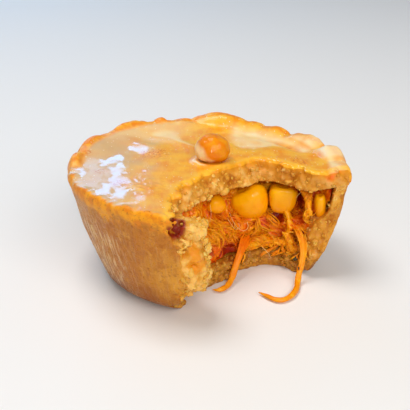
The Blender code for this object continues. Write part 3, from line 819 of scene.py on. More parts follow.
def lobe_swell(radius, azimuth):
    """Share of a rim lobe's height: a narrow pinched band on the left, and a broad soft one on the right."""
    narrow = 1 - ramp(np.abs(turn_between(azimuth, -125)), 42, 58)
    inside = ramp(radius, LOBE_RING - LOBE_REACH + 3.6 * narrow, LOBE_RING - 1.2 + 1.0 * narrow)
    return inside * (1 - ramp(radius, LOBE_RING + 0.9, LOBE_RING + LOBE_REACH))


def beyond_plateau(x, y):
    """Distance beyond the wavy edge of the lid's plateau at its back right, and whether it has one there."""
    edge_x, edge_y = np.array(PLATEAU_EDGE).T
    beyond = y - np.interp(x, edge_x, edge_y)
    return beyond, ramp(x, 4, 8) * (1 - ramp(x, 30, 34))


def ragged_edge(azimuth):
    """How raised and ragged the lid's front edge is at each azimuth, about -1 to 1."""
    turn = np.radians(azimuth).ravel()
    edge = np.stack([np.sin(turn), np.cos(turn), turn * 0], axis=1) * RIM_RADIUS
    return (noise(edge, 3.2, 3) + 0.7 * noise(edge, 1.3, 5)).reshape(np.shape(azimuth))


def rippled(x, y):
    """The thin ridges of glaze that fan out behind the ball, to the left: -1 to 1, and 0 elsewhere."""
    away_x, away_y = x - BALL_MIDDLE[0], y - BALL_MIDDLE[1]
    away = np.hypot(away_x, away_y)
    turn = azimuth_of(away_x, away_y)
    sector = bump(turn_between(turn, -136), 44) * ramp(away, 6, 13) * (1 - ramp(away, 25, 32))
    return sector * np.sin(np.radians(turn * 9) + 1.6 * plan_noise(x, y, 9))


def lid_relief(x, y):
    """How far the lid's glazed surface rises or sinks from its plain form."""
    relief = 0.22 * plan_noise(x, y, 9) + 0.08 * plan_noise(x, y, 4.6, 2) + 0.025 * plan_noise(x, y, 2.2, 4)
    relief = relief + 0.22 * rippled(x, y)
    relief = relief + 0.6 * bump(plan_distance(x, y, BALL_MIDDLE) - 4.4, 1.8)
    wrinkled = bump(plan_distance(x, y, WRINKLES), 8)
    fine = plan_noise(x, y, 1.8, 6)
    relief = relief + 0.3 * wrinkled * (1 - 4 * np.abs(fine)).clip(0, 1) ** 2
    lobed = ramp(np.hypot(x, y), 30, 33) * ramp(x + y, -5, 10)
    relief = relief + lobed * (0.3 * plan_noise(x, y, 3.4, 9) + 0.1 * plan_noise(x, y, 1.5, 7))
    beyond, has_edge = beyond_plateau(x, y)
    return relief + has_edge * (0.1 * bump(beyond + 1.4, 4) - 0.26 * ramp(beyond, -2.6, 3.4))


def lid_field(grid):
    x, y = np.meshgrid(grid.x.ravel(), grid.y.ravel(), indexing="ij")
    azimuth = grid.azimuth[..., 0]
    radius = grid.radius
    front = 1 - ramp(np.abs(azimuth), 74, 90)
    top = lid_top(x, y) + lid_relief(x, y)
    top = top + front * bump(radius[..., 0] - 36.0, 1.6) * (0.1 + 0.3 * ragged_edge(azimuth))
    seam = ramp(grid.z, CASE_HEIGHT - SKIRT, CASE_HEIGHT)
    wall = wall_radius(grid.z) + swell(grid.azimuth, grid.z) - 0.06 + 0.14 * seam
    rim = wall + (RIM_RADIUS - wall) * (1 - front)[..., None]
    side = radius - rim + (RIM_RADIUS - rim_radius(azimuth))[..., None]
    inward, upward = LID_FILLET
    inner = cavity_radius(CASE_HEIGHT)
    underside = LID_UNDERSIDE + upward * ramp(radius, inner - inward, inner)
    underside = underside + (CASE_HEIGHT - SKIRT - LID_UNDERSIDE - upward) * ramp(radius, inner - 0.4, inner)
    solid = soft_max((grid.z - top[..., None]) * 0.96, side, 1.6)
    solid = np.maximum(solid, underside - grid.z)
    lean = LID_LEAN * ramp(LID_HEIGHT - grid.z, 0, LID_HEIGHT - LID_UNDERSIDE)
    return np.maximum(bitten(solid, LID_BITE.on(grid) + lean, grid), -hole_field(grid))


def make_lid():
    grid = Grid((-CRUST_REACH, -CRUST_REACH, LID_UNDERSIDE - 1.2), (CRUST_REACH, CRUST_REACH, 36), STEP)
    points, faces = surface(lid_field(grid), grid)
    points = pressed_wall(points, faces)
    x, y, z = points.T
    radius = np.hypot(x, y)
    azimuth = azimuth_of(x, y)
    below = lid_top(x, y) - z
    depth = wall_radius(z) - radius
    crumb = crumb_share(points, LID_BITE) * ramp(below, 0.5, 1.3) * ramp(depth, 0.2, 0.9)
    under = (1 - ramp(z, 27.6, 28.2)) * ramp(depth, 1.0, 2.0)
    crumb = np.maximum(crumb, under)
    back = ramp(np.abs(azimuth), 74, 88)
    narrow = 1 - ramp(turn_between(azimuth, -120), 42, 60)
    bake = ramp(radius, LOBE_RING - 2.4 - narrow * 0.2, LOBE_RING - 0.6) * back * (0.45 + 0.55 * narrow)
    bake = np.maximum(bake, 0.75 * bump(np.hypot(x - 8.5, y - 33) + 1.5 * noise(points, 3, 4), 5.5))
    side = ramp(radius + 0.8 * ragged_edge(azimuth), 35.9, 36.5) * (1 - back)
    side = np.maximum(side, 1 - ramp(z, 29.2, 30.0)) * (1 - under)
    beyond, has_edge = beyond_plateau(x, y)
    # Painted sheen: the trough behind the plateau's edge and the lobes at the back right are painted pale
    # instead of baked orange, where the glaze would reflect the light.
    behind = has_edge * ramp(beyond + noise(points, 3, 9), 0.6, 3.2) * (1 - ramp(radius, 28, 33))
    behind = behind * (0.75 + 0.5 * noise(points, 4, 3))
    lobe = ramp(radius, 30.5, 32) * (1 - ramp(radius, 35.6, 37)) * bump(turn_between(azimuth, 106), 42)
    lobe = np.minimum(lobe * lobe_at(azimuth)[1] ** 0.5 * (1.3 + 0.6 * noise(points, 3, 5)), 1)
    # Painted highlight: a pale ring of pooled glaze round the ball's foot, on its left side only, where the
    # light falls.
    from_ball = plan_distance(x, y, BALL_MIDDLE)
    smear = bump(from_ball - 4.6 - 1.0 * noise(points, 2.5, 3), 0.8) * ramp(-x - 0.4 * y, 1.5, 4.0)
    # Painted highlight along the lid's front left edge, on its left half only.
    edge = bump(radius - 35.3 + 0.5 * ragged_edge(azimuth), 1.1) * (1 - back) * (x < 0) * 0.12
    # Painted reflection: the lid's left third and its back left are painted paler, where the glaze would
    # reflect the light; drift makes their edges uneven. The left third also has a thicker coat of glaze.
    drift = 7 * noise(points, 8, 6) + 3 * noise(points, 3, 2)
    # Painted glints on the crests of the glaze's ripples.
    ridge = 0.8 * ramp(rippled(x, y), 0.35, 0.9)
    # The crumb's relief also paints it: paler on its lumps as highlight, darker in its creases as shade.
    lid = make_object(
        "crust_lid_look", points, faces,
        crumb=crumb, crease=crumb_relief(points), bake=bake * (1 - 0.7 * lobe),
        wash=ramp(0.7 * drift - x, 10, 26), veil=ramp(y + drift, 12, 26) * (1 - ramp(x, -14, 2)),
        cream=np.maximum.reduce([behind, lobe, smear, edge, ridge]), below=np.clip(below / 6, 0, 1),
        side=side, soaked=soaked(points), juice=juiced(points), patch=patches(points),
        browned=browned(points), fair=faired(points), streaked=streaked(points),
        # Painted highlight along the glaze at the bitten edge.
        lip=bump(LID_BITE.at(points) - 0.5, 1.2) * (1 - ramp(below, 0.4, 1.2)), hollow=hollow_share(points),
    )  # fmt: skip
    return lid, broken_places(points, faces, crumb * (below > 1.2) * (LID_BITE.at(points) < 5), depth)


def patches(points):
    """1 in the browner, speckled patches of the glaze."""
    spots = (((-22.6, -15.8), 4.2), ((-14.5, 6.5), 7.5), ((-28, -8), 3.5), ((24, 3), 5.0), ((-33, 4), 3))
    share = np.zeros(len(points))
    for middle, size in spots:
        away = np.linalg.norm(points[:, :2] - np.array(middle), axis=1)
        share = np.maximum(share, bump(away * (1 + 0.3 * noise(points, 3, 8)), size))
    return share


def make_ball():
    """The dough ball: a sphere that has settled onto an uneven foot."""
    ball, _, _, faces = sphere_grid(64, 96, 0.02)
    ball /= 2
    ball *= 1 + 0.07 * noise(ball, 0.42)[:, None] + 0.03 * noise(ball, 0.16, 2)[:, None]
    foot = float(lid_top(np.array([BALL_MIDDLE[0]]), np.array([BALL_MIDDLE[1]]))[0])
    height = (ball[:, 2] + 0.5) * (BALL_HEIGHT - BALL_SETTLED + BALL_SUNK / 2) - BALL_SUNK / 2
    wide = BALL_WIDTH * (1 + 0.04 * bump(height - 2.0, 2.4))
    x, y = BALL_MIDDLE[0] + ball[:, 0] * wide, BALL_MIDDLE[1] + ball[:, 1] * wide
    points = np.stack([x, y, foot + np.maximum(height, 0)], axis=1)
    # The masks paint the left and lower flank paler, as pooled glaze and a painted reflection, and the foot
    # darker, as shade.
    pale = ramp(-ball[:, 0] - 0.55 * ball[:, 2] + 0.14 * noise(points, 2.0, 5), 0.12, 0.36)
    return make_object("dough_ball_look", points, faces, low=1 - ramp(height, 0, 3.0), pale=pale)


# --- Filling ---


def recess(x, z):
    """How far the filling's face lies back under the lid."""
    (start, full), (fade, gone) = RECESS_SPAN
    return FILLING_RECESS * ramp(x, start, full) * (1 - ramp(x, fade, gone)) * ramp(z, *RECESS_HEIGHTS)


def beyond_face(points):
    """How far each point stands out of the bed's plain face."""
    return recess(points[:, 0], points[:, 2]) + BED_INSET - CASE_BITE.at(points)


def filling_field(grid):
    """The bed of chicken under its shreds, with the thick folds and the hollows of its face."""
    inner = grid.radius - cavity_radius(grid.z) - swell(grid.azimuth, grid.z) + GAP
    solid = np.maximum(inner, BASE_THICKNESS + GAP - grid.z)
    solid = np.maximum(solid, grid.z - LID_UNDERSIDE + GAP)
    face = CASE_BITE.on(grid) - recess(grid.x, grid.z) - BED_INSET
    near = (np.abs(face) < 3) & (solid < 2)
    face[near] += flesh_relief(grid.places(near))
    solid = soft_max(solid, -face, 0.8)
    for points, radii in FOLDS:
        solid = soft_min(solid, tube_field(grid, points, radii), 0.9)
    solid = strewn_folds(solid, grid)
    for middle, radii in VOIDS:
        solid = soft_max(solid, -ellipsoid(grid, middle, radii), 0.5)
    return solid


def strewn_folds(solid, grid):
    """The bed with more folds laid over its face, along its fibres."""
    rng = np.random.default_rng(SEED + 1)
    points, faces = surface(solid, grid)
    seeds, facing = bed_seeds(points, faces, STREWN, rng)
    field = Field(solid, grid.low, (grid.step,) * 3)
    paths = traced(field, seeds, facing, rng.uniform(3, 8, STREWN), rng.uniform(0, 0.5, STREWN), 0.12, rng)
    for path, wide in zip(paths, rng.uniform(0.3, 0.5, STREWN)):
        solid = soft_min(solid, tube_field(grid, path, (wide, 0.6 * wide)), 0.4)
    return solid


def fibrous(points, size, shift=0):
    """Noise in wavy strips about this wide, drawn out along the way the chicken's fibres run."""
    warp = np.stack([noise(points, 6.5, 21), noise(points, 6.5, 22), noise(points, 6.5, 23)], axis=1)
    x, y, z = (points + 3.0 * warp).T
    left, edge = 1 - ramp(x, 4, 10), ramp(x, 24.5, 27)
    total = 0
    for tilt, share in ((-58, left), (-27, 1 - left - edge), (-82, edge)):
        cos, sin = math.cos(math.radians(tilt)), math.sin(math.radians(tilt))
        strips = np.stack([z * cos - x * sin, y, (x * cos + z * sin) * FIBRE_DRAW], axis=1)
        total = total + share * noise(strips, size, shift)
    return total


def stringy(points, size, shift=0):
    """Thin raised strings between wider hollows, about -1 to 0.5."""
    return 0.5 - 2.4 * np.abs(fibrous(points, size, shift))


def flesh_relief(points):
    """How far the chicken's face stands out at each point."""
    relief = 1.2 * noise(points, 5.0, 1) + 0.6 * fibrous(points, 3.0, 2)
    return relief + 0.7 * stringy(points, 2.6, 5) + 0.35 * stringy(points, 1.5, 9)


def make_core(grid, values):
    points, faces = surface(values, grid)
    strings = stringy(points, 1.3, 8)
    points = points + normals_of(points, faces) * (0.28 * strings + 0.1 * noise(points, 0.9, 3))[:, None]
    # Painted shade in the hollows.
    hollow = np.zeros(len(points))
    for middle, radii in VOIDS:
        hollow = np.maximum(hollow, 1 - ramp(in_radii(points, middle, radii), 0.9, 1.4))
    # How far the face stands out, which paints it lighter where it stands out and darker where it lies back,
    # as light and shade.
    raised = 0.6 * beyond_face(points)
    raised += 0.7 * stringy(points, 2.6, 5) + 1.0 * strings + 0.2
    return make_object("chicken_bed", points, faces, hollow=hollow, raised=raised), points, faces


def flow_at(points):
    """The direction in which the chicken's fibres run at each point of the bite's face."""
    x = points[:, 0]
    right = ramp(x, 11, 19)
    edge = ramp(x, 24.5, 27)
    left = 1 - ramp(x, 4, 10)
    across = 1.0 - 0.45 * left + 0.1 * right - 0.95 * edge
    down = 0.35 + 0.75 * left + 0.35 * right + 0.6 * edge
    return np.stack([across, 0 * x, -down], axis=1)


def traced(field, seeds, facing, lengths, lifts, sway, rng):
    """Paths that run over the bed from the seeds and wander, each with one end that stands off it."""
    count = len(seeds)
    flow = flow_at(seeds)
    turn = CLUMP_TURN * noise(seeds, CLUMP_SIZE, 31) + rng.normal(0, 0.25, count)
    side = np.cross(flow, facing)
    flow = flow * np.cos(turn)[:, None] + side * np.sin(turn)[:, None]
    direction = flow * rng.choice((-1, 1), count)[:, None]
    place = seeds + facing * 0.1
    bend = rng.normal(0, sway, count)
    paths = [place]
    for step in range(1, FIBRE_POINTS):
        share = step / (FIBRE_POINTS - 1)
        outward = field.slope(place)
        direction = direction - outward * (0.8 * (direction * outward).sum(axis=1, keepdims=True))
        direction = unit_length(direction)
        direction = direction + np.cross(direction, outward) * (bend + rng.normal(0, sway, count))[:, None]
        place = place + direction * (lengths / (FIBRE_POINTS - 1))[:, None]
        height = 0.1 + lifts * share**1.6
        place = place - outward * ((field.at(place) - height) * 0.35)[:, None]
        paths.append(kept_inside(place))
    return np.stack(paths, axis=1)


def out_of_hollows(guides):
    """Which of the paths stay out of the hollows and off their mouths."""
    free = np.ones(len(guides), bool)
    for middle, radii in VOIDS:
        mouth = np.array(middle) - (0, 1.5, 0)
        free &= (in_radii(guides, mouth, np.array(radii) + (0, 1.5, 0)) > 0.9).all(axis=1)
    return free


def kept_inside(points):
    """The points moved off the crust's inner side and its base."""
    x, y, z = points.T
    radius = np.hypot(x, y)
    azimuth = azimuth_of(x, y)
    most = cavity_radius(z) + swell(azimuth, z) - 0.8 * thick_crumb(azimuth, z) - 0.4
    share = np.minimum(1, most / np.maximum(radius, 1e-6))
    return np.stack([x * share, y * share, np.maximum(z, BASE_THICKNESS + 0.3)], axis=1)


def bed_seeds(points, faces, count, rng):
    """Places on the face of the bed, with the direction that each faces."""
    normals = normals_of(points, faces)
    z = points[:, 2]
    shows = (CASE_BITE.at(points) < 8.5) & (z > BASE_THICKNESS + 0.6) & (z < 23.6)
    azimuth = azimuth_of(points[:, 0], points[:, 1])
    most = cavity_radius(z) - 0.8 * thick_crumb(azimuth, z) - 0.6
    shows &= (np.hypot(points[:, 0], points[:, 1]) < most) & (normals[:, 1] < 0.35)
    for middle, radii in VOIDS:
        shows &= in_radii(points, middle, np.array(radii) + 0.5) > 1
    shown = np.flatnonzero(shows)
    chosen = rng.choice(shown, count, replace=count > len(shown))
    return points[chosen], normals[chosen]


def fringe_guides(rng):
    """Paths that hang from the filling over the broken edge of the base."""
    lengths = rng.uniform(1.4, 4.0, FRINGE)
    x = np.where(rng.random(FRINGE) < 0.5, rng.uniform(20, 26.5, FRINGE), rng.uniform(10, 27, FRINGE))
    edge = np.interp(x, *np.array(BITE_AT_FOOT)[6:17].T)
    place = np.stack([x, edge, rng.uniform(5.8, 8.0, FRINGE)], axis=1)
    drift = rng.normal(0, 0.7, FRINGE)
    tangent = np.cross(-CASE_BITE.slope(place), (0.0, 0.0, 1.0))
    paths, facings = [], []
    for step in range(FIBRE_POINTS):
        share = step / (FIBRE_POINTS - 1)
        gap = 0.8 - 2.1 * ramp(share, 0, 0.55)
        outward = CASE_BITE.slope(place)
        place = place - outward * (CASE_BITE.at(place) - gap)[:, None]
        place[:, 2] = np.maximum(place[:, 2], 0.4)
        paths.append(place)
        facings.append(-outward)
        drift = drift + rng.normal(0, 0.3, FRINGE)
        fall = (0.0, 0.0, -1.0) + tangent * drift[:, None]
        place = place + fall * (lengths / (FIBRE_POINTS - 1))[:, None]
    return np.stack(paths, axis=1), np.stack(facings, axis=1)


def bundled(guides, facing, widths, rng):
    """Fibres that run together along each guide and fray at its ends."""
    count = len(guides)
    side = np.cross(unit_length(np.gradient(guides, axis=1)), facing)
    share = np.linspace(0, 1, FIBRE_POINTS)
    spot = rng.uniform(0, 2 * np.pi, (count, FIBRES))
    out = np.sqrt(rng.random((count, FIBRES)))
    twist = rng.normal(0, 0.9, (count, 1, 1)) * share
    fray = 1 + rng.uniform(0.3, 1.6, (count, FIBRES, 1)) * np.abs(2 * share - 1) ** 3
    reach = (widths[:, None] * out)[..., None] * fray
    angle = spot[..., None] + twist
    sideways = (reach * np.cos(angle))[..., None] * side[:, None]
    upwards = (reach * np.sin(angle) * 0.55)[..., None] * facing[:, None]
    paths = guides[:, None] + sideways + upwards
    start = rng.uniform(0, 0.22, (count, FIBRES, 1))
    end = 1 - rng.uniform(0, 0.22, (count, FIBRES, 1))
    return resampled(paths, start + (end - start) * share)


def resampled(paths, shares):
    """Each path read at the given shares of its length."""
    place = np.clip(shares * (paths.shape[2] - 1), 0, paths.shape[2] - 1.001)
    first = place.astype(int)
    part = (place - first)[..., None]
    a = np.take_along_axis(paths, first[..., None], axis=2)
    b = np.take_along_axis(paths, first[..., None] + 1, axis=2)
    return a * (1 - part) + b * part


def make_shreds(field, points, faces):
    """Shredded chicken as bundles of fibres, over the bed's face and over the base's edge."""
    rng = np.random.default_rng(SEED)
    seeds, facing = bed_seeds(points, faces, 2 * BUNDLES, rng)
    lengths = rng.uniform(3.0, 8.0, 2 * BUNDLES)
    guides = traced(field, seeds, facing, lengths, rng.gamma(1.2, 0.35, 2 * BUNDLES), 0.09, rng)
    guides = guides[out_of_hollows(guides)][:BUNDLES]
    facings = np.stack([field.slope(guides[:, i]) for i in range(FIBRE_POINTS)], axis=1)
    widths = rng.uniform(0.3, 1.0, len(guides))
    fringe, fringe_facings = fringe_guides(rng)
    guides = np.concatenate([guides, fringe])
    facings = np.concatenate([facings, fringe_facings])
    widths = np.append(widths, rng.uniform(0.1, 0.35, len(fringe)))
    fibres = bundled(guides, facings, widths, rng).reshape(-1, FIBRE_POINTS, 3)
    share = np.linspace(0, 1, FIBRE_POINTS)
    taper = np.minimum(1, np.minimum(share * 4 + 0.4, (1 - share) * 3 + 0.35))
    count = len(fibres)
    thin = rng.uniform(0.09, 0.25, (count, 1)) * (1 + 0.2 * rng.normal(size=(count, FIBRE_POINTS)))
    verts, tris = tubes(
        fibres, np.maximum(thin * taper, 0.035), np.repeat(facings, FIBRES, axis=0), FIBRE_SIDES,
        rng.uniform(0.5, 1, count),
    )  # fmt: skip
    tint = np.repeat(rng.random(len(guides)), FIBRES) * 0.6 + rng.random(count) * 0.4
    tint = np.repeat(tint, FIBRE_POINTS * FIBRE_SIDES + 2)
    # Painted light and shade: fibres are coloured lighter the further they stand out of the face.
    height = nearness(verts) + 0.35 * field.at(verts)
    return make_object("chicken_fibres", verts, tris, tint=tint, height=ramp(height, -0.9, 0.6))


def nearness(points):
    """How far out of the bite's face each point of the filling lies, a little unevenly."""
    # Lower at the low left, which paints that corner darker, as shade.
    low_left = 0.9 * (1 - ramp(points[:, 0], 8, 16)) * (1 - ramp(points[:, 2], 7, 12))
    return 0.6 * beyond_face(points) + 0.9 * noise(points, 4.0, 12) - low_left


def make_loose_fibres(field, points, faces):
    """Fine pale fibres that stand off the chicken and curl, and a few long hairs in set places."""
    rng = np.random.default_rng(SEED + 2)
    seeds, facing = bed_seeds(points, faces, 2 * LOOSE_FIBRES, rng)
    lengths = rng.uniform(2.0, 5.5, len(seeds))
    paths = traced(field, seeds, facing, lengths, rng.gamma(2.0, 0.45, len(seeds)), 0.22, rng)
    paths = paths[out_of_hollows(paths)][:LOOSE_FIBRES]
    tint = np.append(rng.uniform(0.4, 1, len(paths)), np.full(len(HAIRS), 2.0))
    thin = np.append(rng.uniform(0.05, 0.1, len(paths)), np.full(len(HAIRS), 0.05))
    paths = np.concatenate([paths, [even_line(hair, FIBRE_POINTS) for hair in HAIRS]])
    facings = np.tile((0.0, -1.0, 0.2), (len(paths), FIBRE_POINTS, 1))
    radii = np.tile(thin[:, None], FIBRE_POINTS)
    verts, tris = tubes(paths, radii, facings, FINE_SIDES, np.ones(len(paths)))
    each = FIBRE_POINTS * FINE_SIDES + 2
    # Painted light and shade as on the bundles; the long hairs are kept at their palest.
    height = np.where(np.repeat(tint, each) > 1, 1, ramp(nearness(verts), -1.2, 0.4))
    return make_object("chicken_loose_fibres", verts, tris, tint=np.repeat(tint, each), height=height)


def make_herbs():
    """Small dark scraps of herb, each a thin crumpled leaf with rounded edges."""
    rng = np.random.default_rng(SEED + 4)
    unit, faces = icosphere(3)
    verts, tris = [], []
    for place, size in HERBS:
        turned = np.linalg.qr(rng.normal(size=(3, 3)))[0]
        turned *= np.sign(np.linalg.det(turned))
        ragged = 1 + 0.5 * noise(unit + rng.uniform(0, 30, 3), 0.9)[:, None]
        leaf = unit * (1.0, 0.75, 0.3) * ragged * size / 2
        verts.append(leaf @ turned.T + np.array(place))
        tris.append(faces + len(unit) * len(tris))
    return make_object("herb_scraps", np.concatenate(verts), np.concatenate(tris))


def make_strand(name, points, radii, lightened):
    """One hanging strand: a flattened, grooved shred, with finer fibres out of the filling along it."""
    rings, sides, length = STRAND_RINGS, STRAND_SIDES, STRAND_FIBRE_POINTS
    line = even_line(points, rings)
    share = np.linspace(0, 1, rings)
    rng = np.random.default_rng(SEED + len(name))
    uneven = 1 + 0.14 * noise(np.stack([share * 20, share * 0, share * 0], axis=1), 1.4, len(name))
    radius = between_ends(radii, share) * np.minimum(1, (1 - share) * 9 + 0.3) * uneven
    radius = radius * (0.4 + 0.6 * ramp(share, 0.02, 0.35))
    facing = np.array((0.25, -0.6, 0.75))
    verts, faces = tubes(
        line[None], radius[None] * 0.8, np.tile(facing, (1, rings, 1)), sides, np.array([0.6]),
    )  # fmt: skip
    middle = np.append(np.repeat(line, sides, axis=0), line[[0, -1]], axis=0)
    angle = np.append(np.tile(np.linspace(0, 2 * np.pi, sides, endpoint=False), rings), (0, 0))
    along = np.append(np.repeat(share, sides), (0, 1))
    grooves = noise(np.stack([np.cos(angle) * 2.6, np.sin(angle) * 2.6, along * 2.2], axis=1), 0.8, 3)
    verts = middle + (verts - middle) * (0.94 + 0.2 * grooves)[:, None]
    count = STRAND_FIBRES
    early = rng.random((count, 1)) < 0.6
    start = np.where(early, rng.uniform(0, 0.12, (count, 1)), rng.uniform(0, 0.55, (count, 1)))
    spans = np.clip(start + rng.uniform(0.25, 0.5, (count, 1)) * np.linspace(0, 1, length), 0, 1)
    paths = resampled(np.repeat(even_line(points, length)[None, None], count, axis=1), spans[None])[0]
    spot = rng.uniform(-1, 1, (count, 1))
    wide = between_ends(radii, spans) * (0.7 + 0.8 * (1 - ramp(spans, 0, 0.4)))
    sideways = unit_length(np.cross(np.gradient(paths, axis=1), facing))
    strewn = (paths + rng.uniform(0, 30, (count, 1, 3))).reshape(-1, 3)
    wander = 0.12 * noise(strewn, 2.2).reshape(count, length)
    paths = paths + sideways * (spot * wide * 0.72 + wander)[..., None]
    paths = paths + facing * (0.4 * radii[1] * np.sqrt(1 - 0.7 * spot**2))[..., None]
    thin = rng.uniform(0.10, 0.22, (count, 1)) * np.minimum(1, 4 - 4 * np.linspace(0, 1, length) + 0.3)
    fine, fine_faces = tubes(paths, thin, np.tile(facing, (count, length, 1)), FINE_SIDES, np.ones(count))
    faces = np.concatenate([faces, fine_faces + len(verts)])
    verts = np.concatenate([verts, fine])
    verts[:, 2] = np.maximum(verts[:, 2], 0.02)
    spans = np.concatenate([np.repeat(spans, FINE_SIDES, axis=1), spans[:, [0, -1]]], axis=1).ravel()
    height = 0.35 + 0.65 * ramp(np.append(along, spans), lightened - 0.45, lightened)
    return make_object(f"{name}_look", verts, faces, tint=0.45 + 0.3 * noise(verts, 1.5, 3), height=height)


# --- Sweetcorn ---


def make_kernel(name, middle, size, lean, squareness):
    """One kernel: a squared egg with a small pointed tip, dented at its crown and grooved down its sides."""
    unit, polar, turn, faces = sphere_grid(56, 80, 0.01)
    unit *= ((np.abs(unit) ** squareness).sum(axis=1) ** (-1 / squareness))[:, None]
    x, y, z = unit.T
    narrow = 1 - KERNEL_TAPER * (1 - z) / 2
    tip = np.exp(-(x**2 + y**2) / 0.12) * ramp(-z, 0.5, 1)
    dent = KERNEL_DENT * bump(x, 0.6) * bump(y, 0.8) * ramp(z, 0.2, 0.9)
    grooves = 0.05 * np.cos(turn * 3 + squareness * 2) * np.sin(polar) ** 2
    x, y = x * narrow * (1 + grooves) * size[0] / 2, y * narrow * (1 + grooves) * size[1] / 2
    z = z * size[2] / 2 - dent - 0.5 * tip
    cos, sin = math.cos(math.radians(lean)), math.sin(math.radians(lean))
    points = np.stack([x * cos - z * sin, y, x * sin + z * cos], axis=1) + np.array(middle)
    uneven = 0.045 * noise(points, 3.0, 4) + 0.012 * noise(points, 1.1)
    points += (points - np.array(middle)) * uneven[:, None]
    # The top of the kernel is painted lighter, as the light falls on it.
    return make_object(f"{name}_look", points, faces, crown=np.clip(unit[:, 2] / 2 + 0.5, 0, 1))


# --- Materials ---


class Paint:
    """One procedural material: each method adds a node and returns its output."""

    def __init__(self, name):
        self.material = bpy.data.materials.new(name)
        self.material.use_nodes = True
        self.tree = self.material.node_tree
        self.shader = self.tree.nodes["Principled BSDF"]
        self.place = self.add("ShaderNodeTexCoord").outputs["Object"]

    def add(self, kind, inputs=(), **settings):
        node = self.tree.nodes.new(kind)
        for key, value in settings.items():
            setattr(node, key, value)
        for key, value in dict(inputs).items():
            self.plug(node.inputs[key], value)
        return node

    def plug(self, socket, value):
        if isinstance(value, bpy.types.NodeSocket):
            self.tree.links.new(value, socket)
        elif isinstance(value, tuple) and len(value) == 3 and socket.type == "RGBA":
            socket.default_value = (*value, 1)
        else:
            socket.default_value = value

    def mask(self, name):
        return self.add("ShaderNodeAttribute", attribute_name=name).outputs["Fac"]

    def share(self, name, amount):
        """A mask at this much of its strength."""
        return self.math("MULTIPLY", self.mask(name), amount)

    def noise(self, size, detail=3, stretch=(1, 1, 1), roughness=0.55):
        """Noise with features of this size in mm, stretched along the axes."""
        place = self.add("ShaderNodeVectorMath", {0: self.place, 1: stretch}, operation="MULTIPLY").outputs[0]
        inputs = {"Vector": place, "Scale": 1 / (size * MM), "Detail": detail, "Roughness": roughness}
        return self.add("ShaderNodeTexNoise", inputs).outputs["Fac"]

    def cells(self, size, feature="F1"):
        inputs = {"Vector": self.place, "Scale": 1 / (size * MM)}
        return self.add("ShaderNodeTexVoronoi", inputs, feature=feature).outputs["Distance"]

    def between(self, value, low, high, start=0.0, end=1.0):
        """The value mapped from low..high to start..end, and held there."""
        inputs = {"Value": value, "From Min": low, "From Max": high, "To Min": start, "To Max": end}
        return self.add("ShaderNodeMapRange", inputs, interpolation_type="SMOOTHSTEP").outputs[0]

    def math(self, operation, a, b=0.0):
        return self.add("ShaderNodeMath", {0: a, 1: b}, operation=operation).outputs[0]

    def mix(self, share, a, b):
        node = self.add("ShaderNodeMix", data_type="RGBA")
        for key, value in ((0, share), (6, a), (7, b)):
            self.plug(node.inputs[key], value)
        return node.outputs[2]

    def bump(self, height, depth, normal=None):
        """A normal from a height of this depth in mm."""
        node = self.add("ShaderNodeBump", {"Height": height, "Distance": depth * MM, "Strength": 1.0})
        if normal is not None:
            self.plug(node.inputs["Normal"], normal)
        return node.outputs["Normal"]

    def finish(self, colour, roughness, normal, soft=(), **sockets):
        """The finished material. soft is the weight, radius and scale of the light's spread inside it."""
        self.plug(self.shader.inputs["Base Color"], colour)
        self.plug(self.shader.inputs["Roughness"], roughness)
        self.plug(self.shader.inputs["Normal"], normal)
        sockets.update(zip(("Subsurface_Weight", "Subsurface_Radius", "Subsurface_Scale"), soft))
        for key, value in sockets.items():
            self.plug(self.shader.inputs[key.replace("_", " ")], value)
        return self.material


def crumb_colour(paint, tip, cream, brown):
    """Broken pastry: painted palest on the tips of its lumps, as highlight, and browner in its creases, as
    shade; browner too where it is soaked.
    """
    grain = paint.between(paint.noise(1.7, 5, roughness=0.6), 0.34, 0.66, -0.5, 0.5)
    tone = paint.math("ADD", paint.mask("crease"), grain)
    colour = paint.mix(paint.between(tone, -1.1, 0.5), brown, cream)
    colour = paint.mix(paint.between(tone, 0.4, 1.7), colour, tip)
    return paint.mix(paint.share("soaked", 0.7), colour, (0.56, 0.19, 0.005))


def dull_base(paint, colour):
    """The colour with the base's duller, mottled brown near the floor."""
    dull = paint.mix(paint.between(paint.noise(1.4, 4), 0.4, 0.62), (0.30, 0.10, 0.003), (0.62, 0.30, 0.03))
    return paint.mix(paint.share("floor", 0.6), colour, dull)


